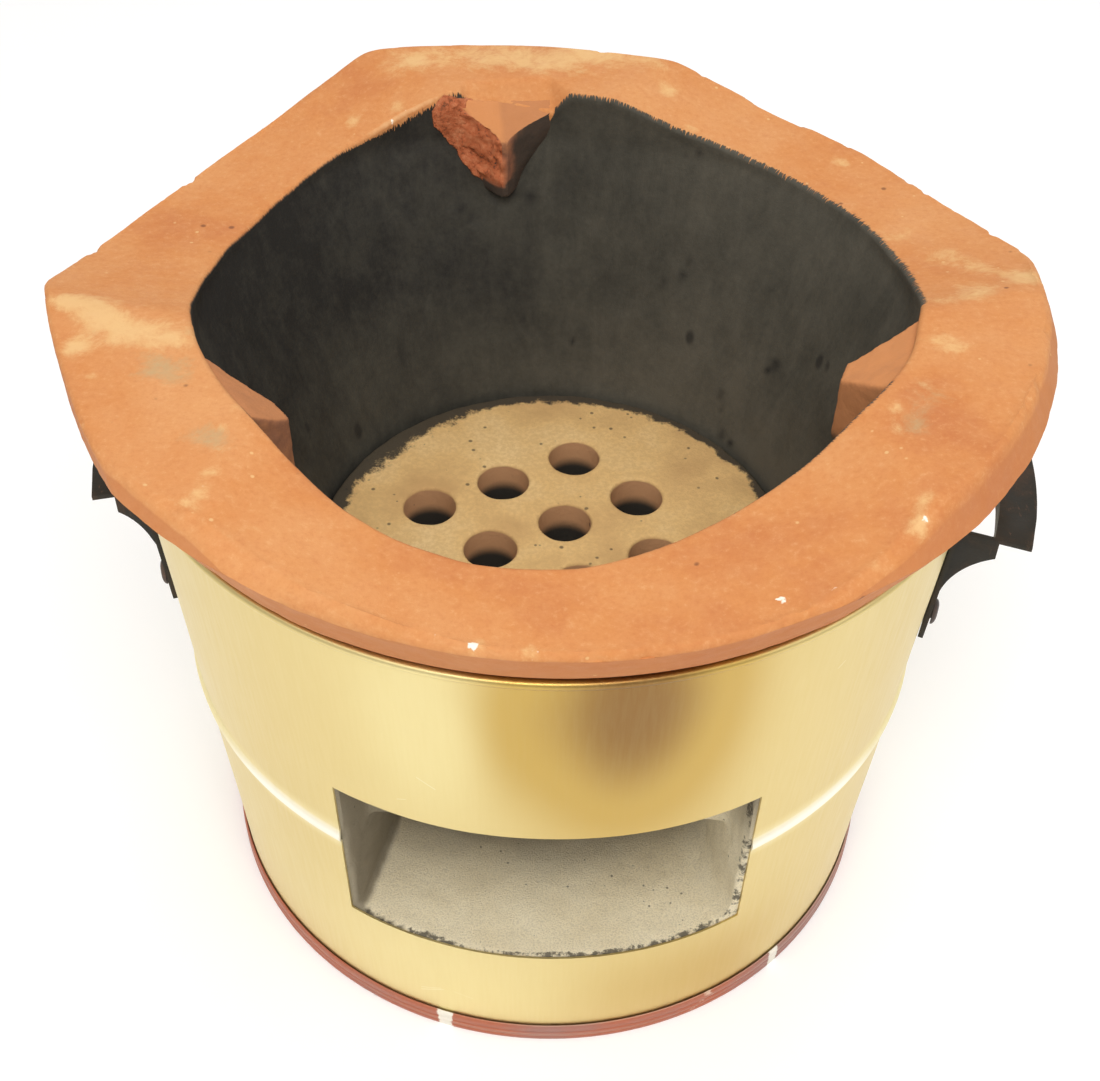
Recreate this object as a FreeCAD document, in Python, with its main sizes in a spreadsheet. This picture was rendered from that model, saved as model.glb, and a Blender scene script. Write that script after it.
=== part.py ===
"""Charcoal clay stove in a tin bucket, as a parametric assembly.

Millimetres. The origin is the middle of the foot ring, +Z is up and the air opening faces -Y.
"""
import FreeCAD
import Part
import Sketcher
import os
from FreeCAD import Placement, Rotation, Vector

# Driving dimensions: alias, value, meaning
SIZES = (
    ("wall_gauge", 0.6, "tin sheet thickness"),
    ("wall_foot_radius", 116.4, "outside of the tin wall at its lower edge"),
    ("wall_foot_z", 1.2, "lower edge of the tin wall, inside the seam"),
    ("wall_flare", 12.3, "how much wider the tin wall is at the hem than at its lower edge"),
    ("wall_top_z", 192.6, "height of the hem's centre"),
    ("hem_bead", 1.5, "radius of the rolled hem"),
    ("swage_z", 95.5, "height of the swaged bead"),
    ("swage_half", 3.0, "half the height of the swaged bead"),
    ("swage_rise", 1.2, "how far the swaged bead stands out"),
    ("seam_width", 9.0, "width of the lap seam at the back"),
    ("seam_rise", 0.7, "how far the lap seam stands out"),
    ("opening_width", 124.0, "air opening, side to side"),
    ("screed", 7.0, "mortar on the ash chamber's floor"),
    ("opening_height", 69.0, "air opening, bottom to top"),
    ("pan_gauge", 0.8, "bottom sheet thickness"),
    ("pan_lift", 4.0, "underside of the bottom above the floor"),
    ("foot_slack", 0.8, "slack between the wall's lower edge and the ring's fold"),
    ("ring_width", 3.8, "radial width of the foot ring"),
    ("ring_height", 8.0, "height of the foot ring"),
    ("bed_top", 28.0, "top of the ash bed under the clay body"),
    ("fill_clear", 1.5, "slack between the tin and what it holds"),
    ("clay_wall", 17.0, "clay round the grate's seat"),
    ("shoulder_rise", 22.0, "height of the clay shoulder"),
    ("collar_height", 22.6, "top of the shoulder below the hem"),
    ("collar_gap", 1.4, "gap between the hem and the clay collar"),
    ("lip_gap", 3.4, "underside of the rim above the hem's centre"),
    ("lip_over", 2.3, "how far the rim's underside stands out past the tin"),
    ("rim_flare", 19.0, "how far the rim flares out from its underside to the crests"),
    ("rim_height", 35.0, "height of the three crests above the rim's underside"),
    ("crest_bevel", 5.5, "how far the bevel round the crests cuts in from the flare, on average"),
    ("bevel_run", 4.5, "slope of the crest bevel, outward"),
    ("bevel_fall", 9.5, "slope of the crest bevel, downward"),
    ("bevel_shift_x", -3.9, "middle of the crest bevel, off the axis"),
    ("bevel_shift_y", 4.6, "middle of the crest bevel, off the axis"),
    ("pare_back_az", 70.4, "direction in which the rim's back is pared most"),
    ("pare_back_depth", 13.6, "how far the rim's back is pared in from the flare"),
    ("pare_back_radius", 199.0, "radius of the pared back"),
    ("pare_left_az", 204.2, "direction in which the rim's left is pared most"),
    ("pare_left_depth", 7.4, "how far the rim's left is pared in from the flare"),
    ("pare_left_radius", 365.0, "radius of the pared left"),
    ("saddle_drop", 15.5, "depth of the saddles below the crests"),
    ("crest_back_az", 94.5, "direction of the back crest"),
    ("crest_left_az", 210.5, "direction of the left crest"),
    ("crest_right_az", 336.0, "direction of the right crest"),
    ("crest_half_angle", 23.2, "half the angle that a crest spans at its outer edge"),
    ("rim_bevel", 2.5, "bevel on the outer edge of the saddles"),
    ("crest_width", 38.0, "radial width of the crests"),
    ("mouth_depth", 17.0, "height of the straight wall at the bowl's mouth"),
    ("fill_width", 19.4, "room for the fill between the tin's foot and the clay body"),
    ("grate_thick", 22.0, "thickness of the grate"),
    ("grate_top", 121.5, "top face of the grate"),
    ("grate_slack", 1.0, "radial slack of the grate in its seat"),
    ("seat_gap", 0.3, "bedding gap under a loose piece"),
    ("hole_radius", 9.0, "radius of the grate holes"),
    ("hole_pitch", 28.5, "hole spacing along a row"),
    ("row_pitch", 28.5, "spacing of the rows"),
    ("row_turn", 29.0, "angle of the rows from +X"),
    ("row_slip", 5.0, "how far the middle row is out of step"),
    ("pattern_x", -4.0, "middle of the hole pattern"),
    ("pattern_y", 4.0, "middle of the hole pattern"),
    ("grate_ledge", 13.0, "how far the grate rests on the clay round the ash chamber"),
    ("clay_floor", 18.0, "clay under the ash chamber"),
    ("duct_splay", 4.0, "how much wider than the opening the duct is at the tin, each side"),
    ("throat_inset", 22.0, "how much less than the ash chamber's radius half the air duct is there"),
    ("throat_cover", 13.2, "clay and mortar between the grate's seat and the duct's roof"),
    ("duct_wall", 4.5, "mortar thickness round the air duct"),
    ("duct_cove", 9.0, "radius of the cove along the duct's right cheek"),
    ("arch_wall", 5.0, "clay left between the grate's seat and the duct's arch"),
    ("lute_gap", 0.2, "joint between pieces that are luted together"),
    ("rest_back_az", 101.5, "direction of the back pot rest"),
    ("rest_left_az", 215.5, "direction of the left pot rest"),
    ("rest_right_az", 339.5, "direction of the right pot rest"),
    ("rest_back_reach", 11.1, "how far the back pot rest's nose stands in from the bowl's wall"),
    ("rest_left_reach", 15.5, "how far the left pot rest's nose stands in from the bowl's wall"),
    ("rest_right_reach", 20.0, "how far the right pot rest's nose stands in from the bowl's wall"),
    ("rest_nose_drop", 14.0, "how far a pot rest's nose lies below the crest"),
    ("rest_nose_half", 4.5, "half width of a pot rest's nose"),
    ("rest_root_half", 18.0, "half width of a pot rest at the crest"),
    ("rest_low_half", 8.0, "half width of a pot rest at its lower end"),
    ("rest_root_drop", 2.0, "how far the root of a pot rest lies below the crest"),
    ("rest_height", 35.0, "lower end of a pot rest below the crest"),
    ("break_depth", 13.0, "how far the split in the back pot rest runs below its nose"),
    ("break_root", 12.0, "how much of the back pot rest's root is split off"),
    ("handle_turn", -2.5, "turn of the handles from the X axis"),
    ("handle_drop", 24.0, "top of the handles below the hem"),
    ("handle_half_angle", 17.0, "half the angle that a handle spans"),
    ("handle_gauge", 1.6, "handle sheet thickness"),
    ("grip_reach", 21.3, "how far the grip stands out past the hem"),
    ("grip_width", 11.0, "width of the grip's flat top"),
    ("grip_skirt", 7.0, "height of the grip's inner skirt"),
    ("leg_foot_high", 27.0, "height of a handle leg at the wall"),
    ("foot_half_angle", 2.9, "half the angle of a handle foot"),
    ("foot_tail", 6.5, "how far a handle foot runs below its rivet"),
    ("foot_gap", 0.15, "paint gap between a handle foot and the wall"),
    ("rivet_drop", 35.1, "how far the rivets lie below the top of the handles"),
    ("rivet_radius", 2.4, "radius of a rivet's shank"),
    ("rivet_head", 4.2, "radius of a rivet's head"),
    ("rivet_crown", 2.8, "radius of the flat on a rivet's head"),
    ("rivet_dome", 1.6, "height of a rivet's head"),
    ("rivet_tail", 0.8, "height of a rivet's clenched tail"),
    ("rivet_slack", 0.1, "radial slack of a rivet in its holes"),
    ("rivet_seat", 0.3, "paint gap under a rivet's head and tail"),
)

# Sizes worked out from the driving dimensions
WALL_TOP_RADIUS = "(sizes.wall_foot_radius + sizes.wall_flare)"
RING_RADIUS = "(sizes.wall_foot_radius + sizes.foot_slack + sizes.pan_gauge)"
PAN_FLOOR = "(sizes.pan_lift + sizes.pan_gauge)"
CLAY_RADIUS = "(sizes.wall_foot_radius - sizes.fill_width)"
SEAT_RADIUS = f"({CLAY_RADIUS} - sizes.clay_wall)"
SEAT_Z = "(sizes.grate_top - sizes.grate_thick - sizes.seat_gap)"
GRATE_RADIUS = f"({SEAT_RADIUS} - sizes.grate_slack)"
CHAMBER_RADIUS = f"({GRATE_RADIUS} - sizes.grate_ledge)"
DUCT_THROAT_HALF = f"({CHAMBER_RADIUS} - sizes.throat_inset)"
CHAMBER_FLOOR = "(sizes.bed_top + sizes.clay_floor)"
COLLAR_RADIUS = f"({WALL_TOP_RADIUS} - 2 * sizes.hem_bead - sizes.collar_gap)"
SHOULDER_Z = "(sizes.wall_top_z - sizes.collar_height)"
CLAY_WAIST_Z = f"({SHOULDER_Z} - sizes.shoulder_rise)"
LIP_Z = "(sizes.wall_top_z + sizes.lip_gap)"
LIP_RADIUS = f"({WALL_TOP_RADIUS} + sizes.lip_over)"
FLARE_RADIUS = f"({LIP_RADIUS} + sizes.rim_flare)"
CREST_Z = f"({LIP_Z} + sizes.rim_height)"
CREST_RADIUS = f"({FLARE_RADIUS} - sizes.crest_bevel)"
MOUTH_RADIUS = f"({CREST_RADIUS} - sizes.crest_width)"
REST_NOSE_Z = f"({CREST_Z} - sizes.rest_nose_drop)"
REST_LOW_Z = f"({CREST_Z} - sizes.rest_height)"
OPENING_LOW = f"({CHAMBER_FLOOR} + sizes.screed)"
OPENING_HIGH = f"({OPENING_LOW} + sizes.opening_height)"
DUCT_MOUTH_HALF = "(sizes.opening_width / 2 + sizes.duct_splay)"
DUCT_THROAT_HIGH = f"({SEAT_Z} - sizes.throat_cover)"
DUCT_REACH = f"({WALL_TOP_RADIUS} + sizes.fill_clear)"
HANDLE_TOP = "(sizes.wall_top_z - sizes.handle_drop)"
GRIP_RADIUS = f"({WALL_TOP_RADIUS} + sizes.grip_reach)"
RIVET_Z = f"({HANDLE_TOP} - sizes.rivet_drop)"
FOOT_LOW = f"({RIVET_Z} - sizes.foot_tail)"
WALL_SLOPE = "(sizes.wall_flare / (sizes.wall_top_z - sizes.wall_foot_z))"
MOUTH_Z = f"({CREST_Z} - sizes.mouth_depth)"
HOLE_ROWS = ((-1, 3), (0, 4), (1, 3))
HEM_CORNERS = (0, 60, 120, 180, 240, 300)


def wall_radius(height, inset="0"):
    """Expression for the tin wall's outside radius at a height, less an inset."""
    return f"(sizes.wall_foot_radius + {WALL_SLOPE} * ({height} - sizes.wall_foot_z) - {inset})"


def make_sheet(doc):
    """Write the driving dimensions into the document's spreadsheet."""
    sheet = doc.addObject("Spreadsheet::Sheet", "sizes")
    for row, (alias, value, meaning) in enumerate(SIZES, start=1):
        sheet.set(f"A{row}", meaning)
        sheet.set(f"B{row}", str(value))
        sheet.setAlias(f"B{row}", alias)
    doc.recompute()
    return sheet


def value_of(doc, expression):
    """Number that an expression has now, to start a sketch from."""
    return float(doc.sizes.evalExpression(expression))


def new_body(doc, label):
    """Add an empty body, named as its piece."""
    body = doc.addObject("PartDesign::Body", label)
    body.Label = label
    return body


def plane_of(body, role):
    """One of a body's own origin planes or axes, by role."""
    return next(item for item in body.Origin.OriginFeatures if item.Role == role)


def new_sketch(body, name, role="XZ_Plane", off=None, turn=None, rise=None):
    """Add a sketch on an origin plane.

    off moves it along the plane's normal, turn swings it about Z and rise lifts an upright sketch.
    """
    sketch = body.newObject("Sketcher::SketchObject", name)
    sketch.AttachmentSupport = [(plane_of(body, role), "")]
    sketch.MapMode = "FlatFace"
    if turn is not None:
        axis = Vector(0, 0, 1) if role == "XY_Plane" else Vector(0, 1, 0)
        sketch.AttachmentOffset = Placement(Vector(), Rotation(axis, 1.0))
        sketch.setExpression("AttachmentOffset.Rotation.Angle", turn)
    if off is not None:
        sketch.setExpression("AttachmentOffset.Base.z", off)
    if rise is not None:
        sketch.setExpression("AttachmentOffset.Base.y", rise)
    body.Document.recompute()
    return sketch


def pin_point(sketch, geometry, corner, across, up):
    """Hold a sketch point at two expressions measured from the origin."""
    for kind, axis, expression in (("DistanceX", -2, across), ("DistanceY", -1, up)):
        if expression == "0":
            sketch.addConstraint(Sketcher.Constraint("PointOnObject", geometry, corner, axis))
            continue
        start = value_of(sketch.Document, expression)
        rule = Sketcher.Constraint(kind, -1, 1, geometry, corner, start)
        sketch.setExpression(f"Constraints[{sketch.addConstraint(rule)}]", expression)


def draw_outline(sketch, points):
    """Draw a closed outline through points given as expressions.

    A point may carry a third item, the radius of an arc to the next point, which bulges to the left of
    the way there when the radius has a minus sign before it and to the right otherwise.
    """
    doc = sketch.Document
    spots = [Vector(value_of(doc, item[0]), value_of(doc, item[1]), 0) for item in points]
    edges = []
    for index, item in enumerate(points):
        start = spots[index]
        end = spots[(index + 1) % len(points)]
        if len(item) == 2:
            edges.append(sketch.addGeometry(Part.LineSegment(start, end), False))
            continue
        radius = value_of(doc, item[2])
        chord = end - start
        side = Vector(chord.y, -chord.x, 0).normalize()
        sagitta = abs(radius) - (radius ** 2 - (chord.Length / 2) ** 2) ** 0.5
        middle = (start + end) * 0.5 + side * (sagitta if radius > 0 else -sagitta)
        edges.append(sketch.addGeometry(Part.Arc(start, middle, end), False))
    for index, item in enumerate(points):
        edge = edges[index]
        before = edges[index - 1]
        joined = Sketcher.Constraint("Coincident", before, end_of(sketch, before, spots[index]),
                                     edge, end_of(sketch, edge, spots[index]))
        sketch.addConstraint(joined)
        pin_point(sketch, edge, end_of(sketch, edge, spots[index]), item[0], item[1])
        if len(item) == 3:
            rule = Sketcher.Constraint("Radius", edge, abs(value_of(doc, item[2])))
            sketch.setExpression(f"Constraints[{sketch.addConstraint(rule)}]", item[2].lstrip("-"))
    return edges


def end_of(sketch, edge, spot):
    """Number of an edge's end that lies at a spot: 1 for its start, 2 for its end."""
    return 1 if sketch.getPoint(edge, 1).isEqual(spot, 1e-6) else 2


def draw_circle(sketch, across, up, radius):
    """Draw a circle whose centre and radius are expressions."""
    doc = sketch.Document
    centre = Vector(value_of(doc, across), value_of(doc, up), 0)
    circle = sketch.addGeometry(Part.Circle(centre, Vector(0, 0, 1), value_of(doc, radius)), False)
    pin_point(sketch, circle, 3, across, up)
    rule = Sketcher.Constraint("Radius", circle, value_of(doc, radius))
    sketch.setExpression(f"Constraints[{sketch.addConstraint(rule)}]", radius)


def draw_box(sketch, left, right, low, high):
    """Draw an upright rectangle from four expressions."""
    draw_outline(sketch, [(left, low), (right, low), (right, high), (left, high)])


def revolve(body, sketch, name, kind="Revolution", sweep=None):
    """Turn a sketch about the body's Z axis, all the way round or evenly over a sweep."""
    feature = body.newObject(f"PartDesign::{kind}", name)
    feature.Profile = sketch
    feature.ReferenceAxis = (plane_of(body, "Z_Axis"), [""])
    feature.Angle = 360.0
    if sweep is not None:
        feature.Midplane = True
        feature.setExpression("Angle", sweep)
    body.Document.recompute()
    return feature


def extrude(body, sketch, name, length, kind="Pad", backward=False, both=False):
    """Pad or pocket a sketch by a length, one way or evenly both ways."""
    feature = body.newObject(f"PartDesign::{kind}", name)
    feature.Profile = sketch
    feature.setExpression("Length", length)
    feature.Reversed = backward
    if both:
        feature.SideType = "Symmetric"
    body.Document.recompute()
    return feature


def duct_steps(body, name, kind, swell):
    """Cut or add the air duct in two steps: a low throat through the clay and a tall mouth before it.

    The plan widens evenly from the ash chamber to the tin. A swollen duct, for the lining's outside and for
    what the lining lies in, is larger on the sides, the roof and the arch, and its floor drops to the clay.
    """
    low = OPENING_LOW
    if swell != "0":
        low = f"({CHAMBER_FLOOR} - {swell} + sizes.duct_wall)"
    start = f"sqrt({CHAMBER_RADIUS}^2 - ({DUCT_THROAT_HALF} + 2 * sizes.duct_wall)^2)"
    arch = f"({SEAT_RADIUS} + sizes.arch_wall + sizes.duct_wall + sizes.lute_gap - {swell})"
    spread = f"(({DUCT_MOUTH_HALF} - {DUCT_THROAT_HALF}) / ({DUCT_REACH} - {start}))"
    for step, back, roof in (
        ("throat", start, DUCT_THROAT_HIGH),
        ("mouth", arch, OPENING_HIGH),
    ):
        half_back = f"({DUCT_THROAT_HALF} + {spread} * ({back} - {start}) + {swell})"
        half_front = f"({DUCT_MOUTH_HALF} + {swell})"
        plan = new_sketch(body, f"{name}_{step}_plan", role="XY_Plane", off=low)
        draw_outline(plan, [
            (f"-{half_back}", f"-{back}"),
            (f"-{half_front}", f"-{DUCT_REACH}"),
            (half_front, f"-{DUCT_REACH}"),
            (half_back, f"-{back}"),
        ])
        height = f"({roof} + {swell} - {low})"
        extrude(body, plan, f"{name}_{step}", height, kind=kind, backward=kind == "Pocket")


def make_tin_wall(doc):
    """Bucket wall: rolled sheet with a hem, a swaged bead, a lap seam and the air opening."""
    body = new_body(doc, "tin_wall")
    gauge = "sizes.wall_gauge"
    heights = (
        ("sizes.wall_foot_z", "0"),
        ("(sizes.swage_z - sizes.swage_half)", "0"),
        ("sizes.swage_z", "sizes.swage_rise"),
        ("(sizes.swage_z + sizes.swage_half)", "0"),
        ("sizes.wall_top_z", "0"),
    )
    outside = [(wall_radius(height, f"-{rise}"), height) for height, rise in heights]
    inside = [(wall_radius(height, f"({gauge} - {rise})"), height) for height, rise in heights]
    sheet = new_sketch(body, "wall_profile")
    draw_outline(sheet, outside + inside[::-1])
    revolve(body, sheet, "wall_sheet")
    hem = new_sketch(body, "hem_profile")
    middle = f"({WALL_TOP_RADIUS} - sizes.hem_bead / 4)"
    draw_outline(hem, [
        (f"({middle} + sizes.hem_bead * cos({turn}))", f"(sizes.wall_top_z + sizes.hem_bead * sin({turn}))")
        for turn in HEM_CORNERS
    ])
    revolve(body, hem, "hem")
    seam = new_sketch(body, "seam_profile", role="YZ_Plane")
    seam_low = "(sizes.ring_height + sizes.pan_gauge)"
    seam_high = "(sizes.wall_top_z - sizes.hem_bead)"
    draw_outline(seam, [
        (wall_radius(seam_low, f"{gauge} / 2"), seam_low),
        (wall_radius(seam_low, "-sizes.seam_rise"), seam_low),
        (wall_radius(seam_high, "-sizes.seam_rise"), seam_high),
        (wall_radius(seam_high, f"{gauge} / 2"), seam_high),
    ])
    extrude(body, seam, "lap_seam", "sizes.seam_width", both=True)
    opening = new_sketch(body, "opening_outline")
    half = "(sizes.opening_width / 2)"
    draw_box(opening, f"-{half}", half, OPENING_LOW, OPENING_HIGH)
    extrude(body, opening, "air_opening", DUCT_REACH, kind="Pocket", backward=True)
    for side in (-1, 1):
        turn = f"(sizes.handle_turn + {side} * sizes.handle_half_angle)"
        hole = new_sketch(body, f"rivet_hole_{'front' if side < 0 else 'back'}", role="YZ_Plane", turn=turn)
        draw_circle(hole, "0", RIVET_Z, "(sizes.rivet_radius + sizes.rivet_slack)")
        extrude(body, hole, f"{hole.Name}s", f"(3 * {DUCT_REACH})", kind="Pocket", both=True)
    return body


def make_base_pan(doc):
    """Bucket bottom, with the folded ring that holds the wall's lower edge."""
    body = new_body(doc, "base_pan")
    inner = f"({RING_RADIUS} - sizes.ring_width)"
    profile = new_sketch(body, "pan_profile")
    draw_outline(profile, [
        ("0", "sizes.pan_lift"),
        (inner, "sizes.pan_lift"),
        (inner, "0"),
        (RING_RADIUS, "0"),
        (RING_RADIUS, "sizes.ring_height"),
        (f"({RING_RADIUS} - sizes.pan_gauge)", "sizes.ring_height"),
        (f"({RING_RADIUS} - sizes.pan_gauge)", "sizes.pan_gauge"),
        (f"({inner} + sizes.pan_gauge)", "sizes.pan_gauge"),
        (f"({inner} + sizes.pan_gauge)", PAN_FLOOR),
        ("0", PAN_FLOOR),
    ])
    revolve(body, profile, "pan")
    return body


def make_ash_bedding(doc):
    """Bed of ash between the bucket's bottom and the clay body."""
    body = new_body(doc, "ash_bedding")
    profile = new_sketch(body, "bed_profile")
    edge = f"({RING_RADIUS} - sizes.ring_width - sizes.fill_clear)"
    draw_box(profile, "0", edge, PAN_FLOOR, "sizes.bed_top")
    revolve(body, profile, "bed")
    return body


def make_insulation_fill(doc):
    """Loose fill packed between the clay body and the tin, up to the clay shoulder."""
    body = new_body(doc, "insulation_fill")
    inset = "(sizes.wall_gauge + sizes.fill_clear)"
    gap = "sizes.lute_gap"
    shoulder = f"({SHOULDER_Z} - {gap})"
    profile = new_sketch(body, "fill_profile")
    draw_outline(profile, [
        (f"({CLAY_RADIUS} + {gap})", "sizes.bed_top"),
        (wall_radius("sizes.bed_top", inset), "sizes.bed_top"),
        (wall_radius(shoulder, inset), shoulder),
        (f"({COLLAR_RADIUS} + {gap})", shoulder),
        (f"({CLAY_RADIUS} + {gap})", f"({CLAY_WAIST_Z} - {gap})"),
    ])
    revolve(body, profile, "fill")
    duct_steps(body, "fill_duct", "Pocket", f"(sizes.duct_wall + {gap})")
    return body


def make_fire_bowl(doc):
    """Fired clay body: lobed rim, conical bowl, grate ledge, ash chamber and air inlet."""
    body = new_body(doc, "fire_bowl")
    profile = new_sketch(body, "clay_profile")
    draw_outline(profile, [
        ("0", "sizes.bed_top"),
        (CLAY_RADIUS, "sizes.bed_top"),
        (CLAY_RADIUS, CLAY_WAIST_Z),
        (COLLAR_RADIUS, SHOULDER_Z),
        (COLLAR_RADIUS, LIP_Z),
        (LIP_RADIUS, f"({LIP_Z} + sizes.hem_bead)"),
        (FLARE_RADIUS, CREST_Z),
        (MOUTH_RADIUS, CREST_Z),
        (MOUTH_RADIUS, MOUTH_Z),
        (SEAT_RADIUS, "sizes.grate_top"),
        (SEAT_RADIUS, SEAT_Z),
        (CHAMBER_RADIUS, SEAT_Z),
        (CHAMBER_RADIUS, CHAMBER_FLOOR),
        ("0", CHAMBER_FLOOR),
    ])
    revolve(body, profile, "clay")
    crests = ("back", "left", "right", "back")
    for first, second in zip(crests, crests[1:]):
        cut_saddle(body, first, second)
    bevel_saddles(body)
    bevel_crests(body)
    for side in ("back", "left"):
        pare_rim(body, side)
    duct_steps(body, "inlet", "Pocket", "(sizes.duct_wall + sizes.lute_gap)")
    return body


def bevel_crests(body):
    """Bevel the crests' outer edge, about an axis beside the stove's own, so that the front loses most."""
    sketch = new_sketch(body, "bevel_profile", off="(-sizes.bevel_shift_y)")
    sketch.setExpression("AttachmentOffset.Base.x", "sizes.bevel_shift_x")
    high = f"({CREST_Z} + sizes.bevel_fall)"
    low = f"({CREST_Z} - 2 * sizes.bevel_fall)"
    far = f"(2 * {FLARE_RADIUS})"
    draw_outline(sketch, [
        (f"({CREST_RADIUS} - sizes.bevel_run)", high),
        (f"({CREST_RADIUS} + 2 * sizes.bevel_run)", low),
        (far, low),
        (far, high),
    ])
    bevel = body.newObject("PartDesign::Groove", "crest_bevel")
    bevel.Profile = sketch
    bevel.ReferenceAxis = (sketch, ["V_Axis"])
    bevel.Angle = 360.0
    body.Document.recompute()


def pare_rim(body, side):
    """Pare one side of the rim to a flatter curve."""
    radius = f"sizes.pare_{side}_radius"
    back_off = f"({radius} + sizes.pare_{side}_depth - {FLARE_RADIUS})"
    sketch = new_sketch(body, f"pared_{side}_outline", role="XY_Plane", off=CREST_Z)
    across = f"(-{back_off} * cos(sizes.pare_{side}_az))"
    up = f"(-{back_off} * sin(sizes.pare_{side}_az))"
    draw_circle(sketch, across, up, radius)
    draw_circle(sketch, across, up, f"(2 * {radius})")
    extrude(body, sketch, f"pared_{side}", "(sizes.rim_height - sizes.hem_bead)", kind="Pocket")


def cut_saddle(body, first, second):
    """Scoop the hollow between two neighbouring crests out of the rim, outward from the axis."""
    lap = 360 if second == "back" else 0
    ends = f"(sizes.crest_{first}_az + sizes.crest_{second}_az + {lap})"
    gap = f"(sizes.crest_{second}_az + {lap} - sizes.crest_{first}_az)"
    half = f"({CREST_RADIUS} * sin({gap} / 2 - sizes.crest_half_angle))"
    scoop = f"(({half}^2 + sizes.saddle_drop^2) / (2 * sizes.saddle_drop))"
    sketch = new_sketch(body, f"saddle_{first}_{second}", role="YZ_Plane", turn=f"({ends} / 2)")
    draw_circle(sketch, "0", f"({CREST_Z} - sizes.saddle_drop + {scoop})", scoop)
    extrude(body, sketch, f"scoop_{first}_{second}", f"(2 * {FLARE_RADIUS})", kind="Pocket", backward=True)


def bevel_saddles(body):
    """Bevel the curved outer edges that the saddles leave on the rim."""
    scooped = body.Tip
    inside = value_of(body.Document, f"({MOUTH_RADIUS} + {CREST_RADIUS}) / 2")
    names = []
    for number, edge in enumerate(scooped.Shape.Edges, start=1):
        reach = min(Vector(spot.x, spot.y, 0).Length for spot in edge.discretize(9))
        if isinstance(edge.Curve, Part.BSplineCurve) and reach > inside:
            names.append(f"Edge{number}")
    bevel = body.newObject("PartDesign::Chamfer", "saddle_bevel")
    bevel.Base = (scooped, names)
    bevel.setExpression("Size", "sizes.rim_bevel")
    body.Document.recompute()


def make_grate(doc):
    """Clay grate: a thick disc with rows of drilled holes, loose in its seat."""
    body = new_body(doc, "grate")
    low = "(sizes.grate_top - sizes.grate_thick)"
    profile = new_sketch(body, "grate_profile")
    draw_box(profile, "0", GRATE_RADIUS, low, "sizes.grate_top")
    revolve(body, profile, "disc")
    holes = new_sketch(body, "hole_pattern", role="XY_Plane", off="sizes.grate_top", turn="sizes.row_turn")
    holes.setExpression("AttachmentOffset.Base.x", "sizes.pattern_x")
    holes.setExpression("AttachmentOffset.Base.y", "sizes.pattern_y")
    doc.recompute()
    for row, count in HOLE_ROWS:
        for place in range(count):
            step = place - (count - 1) / 2
            slip = "sizes.row_slip" if row == 0 else "0"
            across = f"({step} * sizes.hole_pitch - {slip})"
            draw_circle(holes, across, f"({row} * sizes.row_pitch)", "sizes.hole_radius")
    extrude(body, holes, "holes", "(2 * sizes.grate_thick)", kind="Pocket")
    return body


def make_pot_rest(doc, side, broken):
    """Clay corbel on the bowl wall, with a ramp from the crest to its nose, which a small pot sits on."""
    body = new_body(doc, f"pot_rest_{side}")
    turn = f"sizes.rest_{side}_az"
    root = MOUTH_RADIUS
    nose = f"({root} - sizes.rest_{side}_reach)"
    front = new_sketch(body, "front_outline", role="YZ_Plane", off=nose)
    draw_outline(front, [
        ("-sizes.rest_low_half", REST_LOW_Z),
        ("sizes.rest_low_half", REST_LOW_Z),
        ("sizes.rest_root_half", CREST_Z),
        ("-sizes.rest_root_half", CREST_Z),
    ])
    extrude(body, front, "corbel", f"sizes.rest_{side}_reach")
    plan = new_sketch(body, "prow_plan", role="XY_Plane", off=CREST_Z)
    for flank in ("-", ""):
        draw_outline(plan, [
            (nose, f"{flank}sizes.rest_nose_half"),
            (root, f"{flank}sizes.rest_root_half"),
            (nose, f"{flank}sizes.rest_root_half"),
        ])
    extrude(body, plan, "prow", "sizes.rest_height", kind="Pocket")
    ramp = new_sketch(body, "ramp_profile")
    root_z = f"({CREST_Z} - sizes.rest_root_drop)"
    sky = f"({CREST_Z} + sizes.saddle_drop)"
    start = f"({nose} - sizes.rest_nose_half)"
    fall = f"(({root_z} - {REST_NOSE_Z}) / sizes.rest_{side}_reach)"
    draw_outline(ramp, [
        (start, f"({REST_NOSE_Z} - {fall} * sizes.rest_nose_half)"),
        (root, root_z),
        (FLARE_RADIUS, root_z),
        (FLARE_RADIUS, sky),
        (start, sky),
    ])
    extrude(body, ramp, "ramp", "(4 * sizes.rest_root_half)", kind="Pocket", both=True)
    if broken:
        split_side(body, nose, root, sky)
    wall = new_sketch(body, "wall_profile")
    draw_outline(wall, [
        (f"({SEAT_RADIUS} - sizes.lute_gap)", "sizes.grate_top"),
        (f"({MOUTH_RADIUS} - sizes.lute_gap)", MOUTH_Z),
        (f"({MOUTH_RADIUS} - sizes.lute_gap)", sky),
        (FLARE_RADIUS, sky),
        (FLARE_RADIUS, "sizes.grate_top"),
    ])
    revolve(body, wall, "bowl_side", kind="Groove")
    body.setExpression("Placement.Rotation.Angle", turn)
    return body


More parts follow.
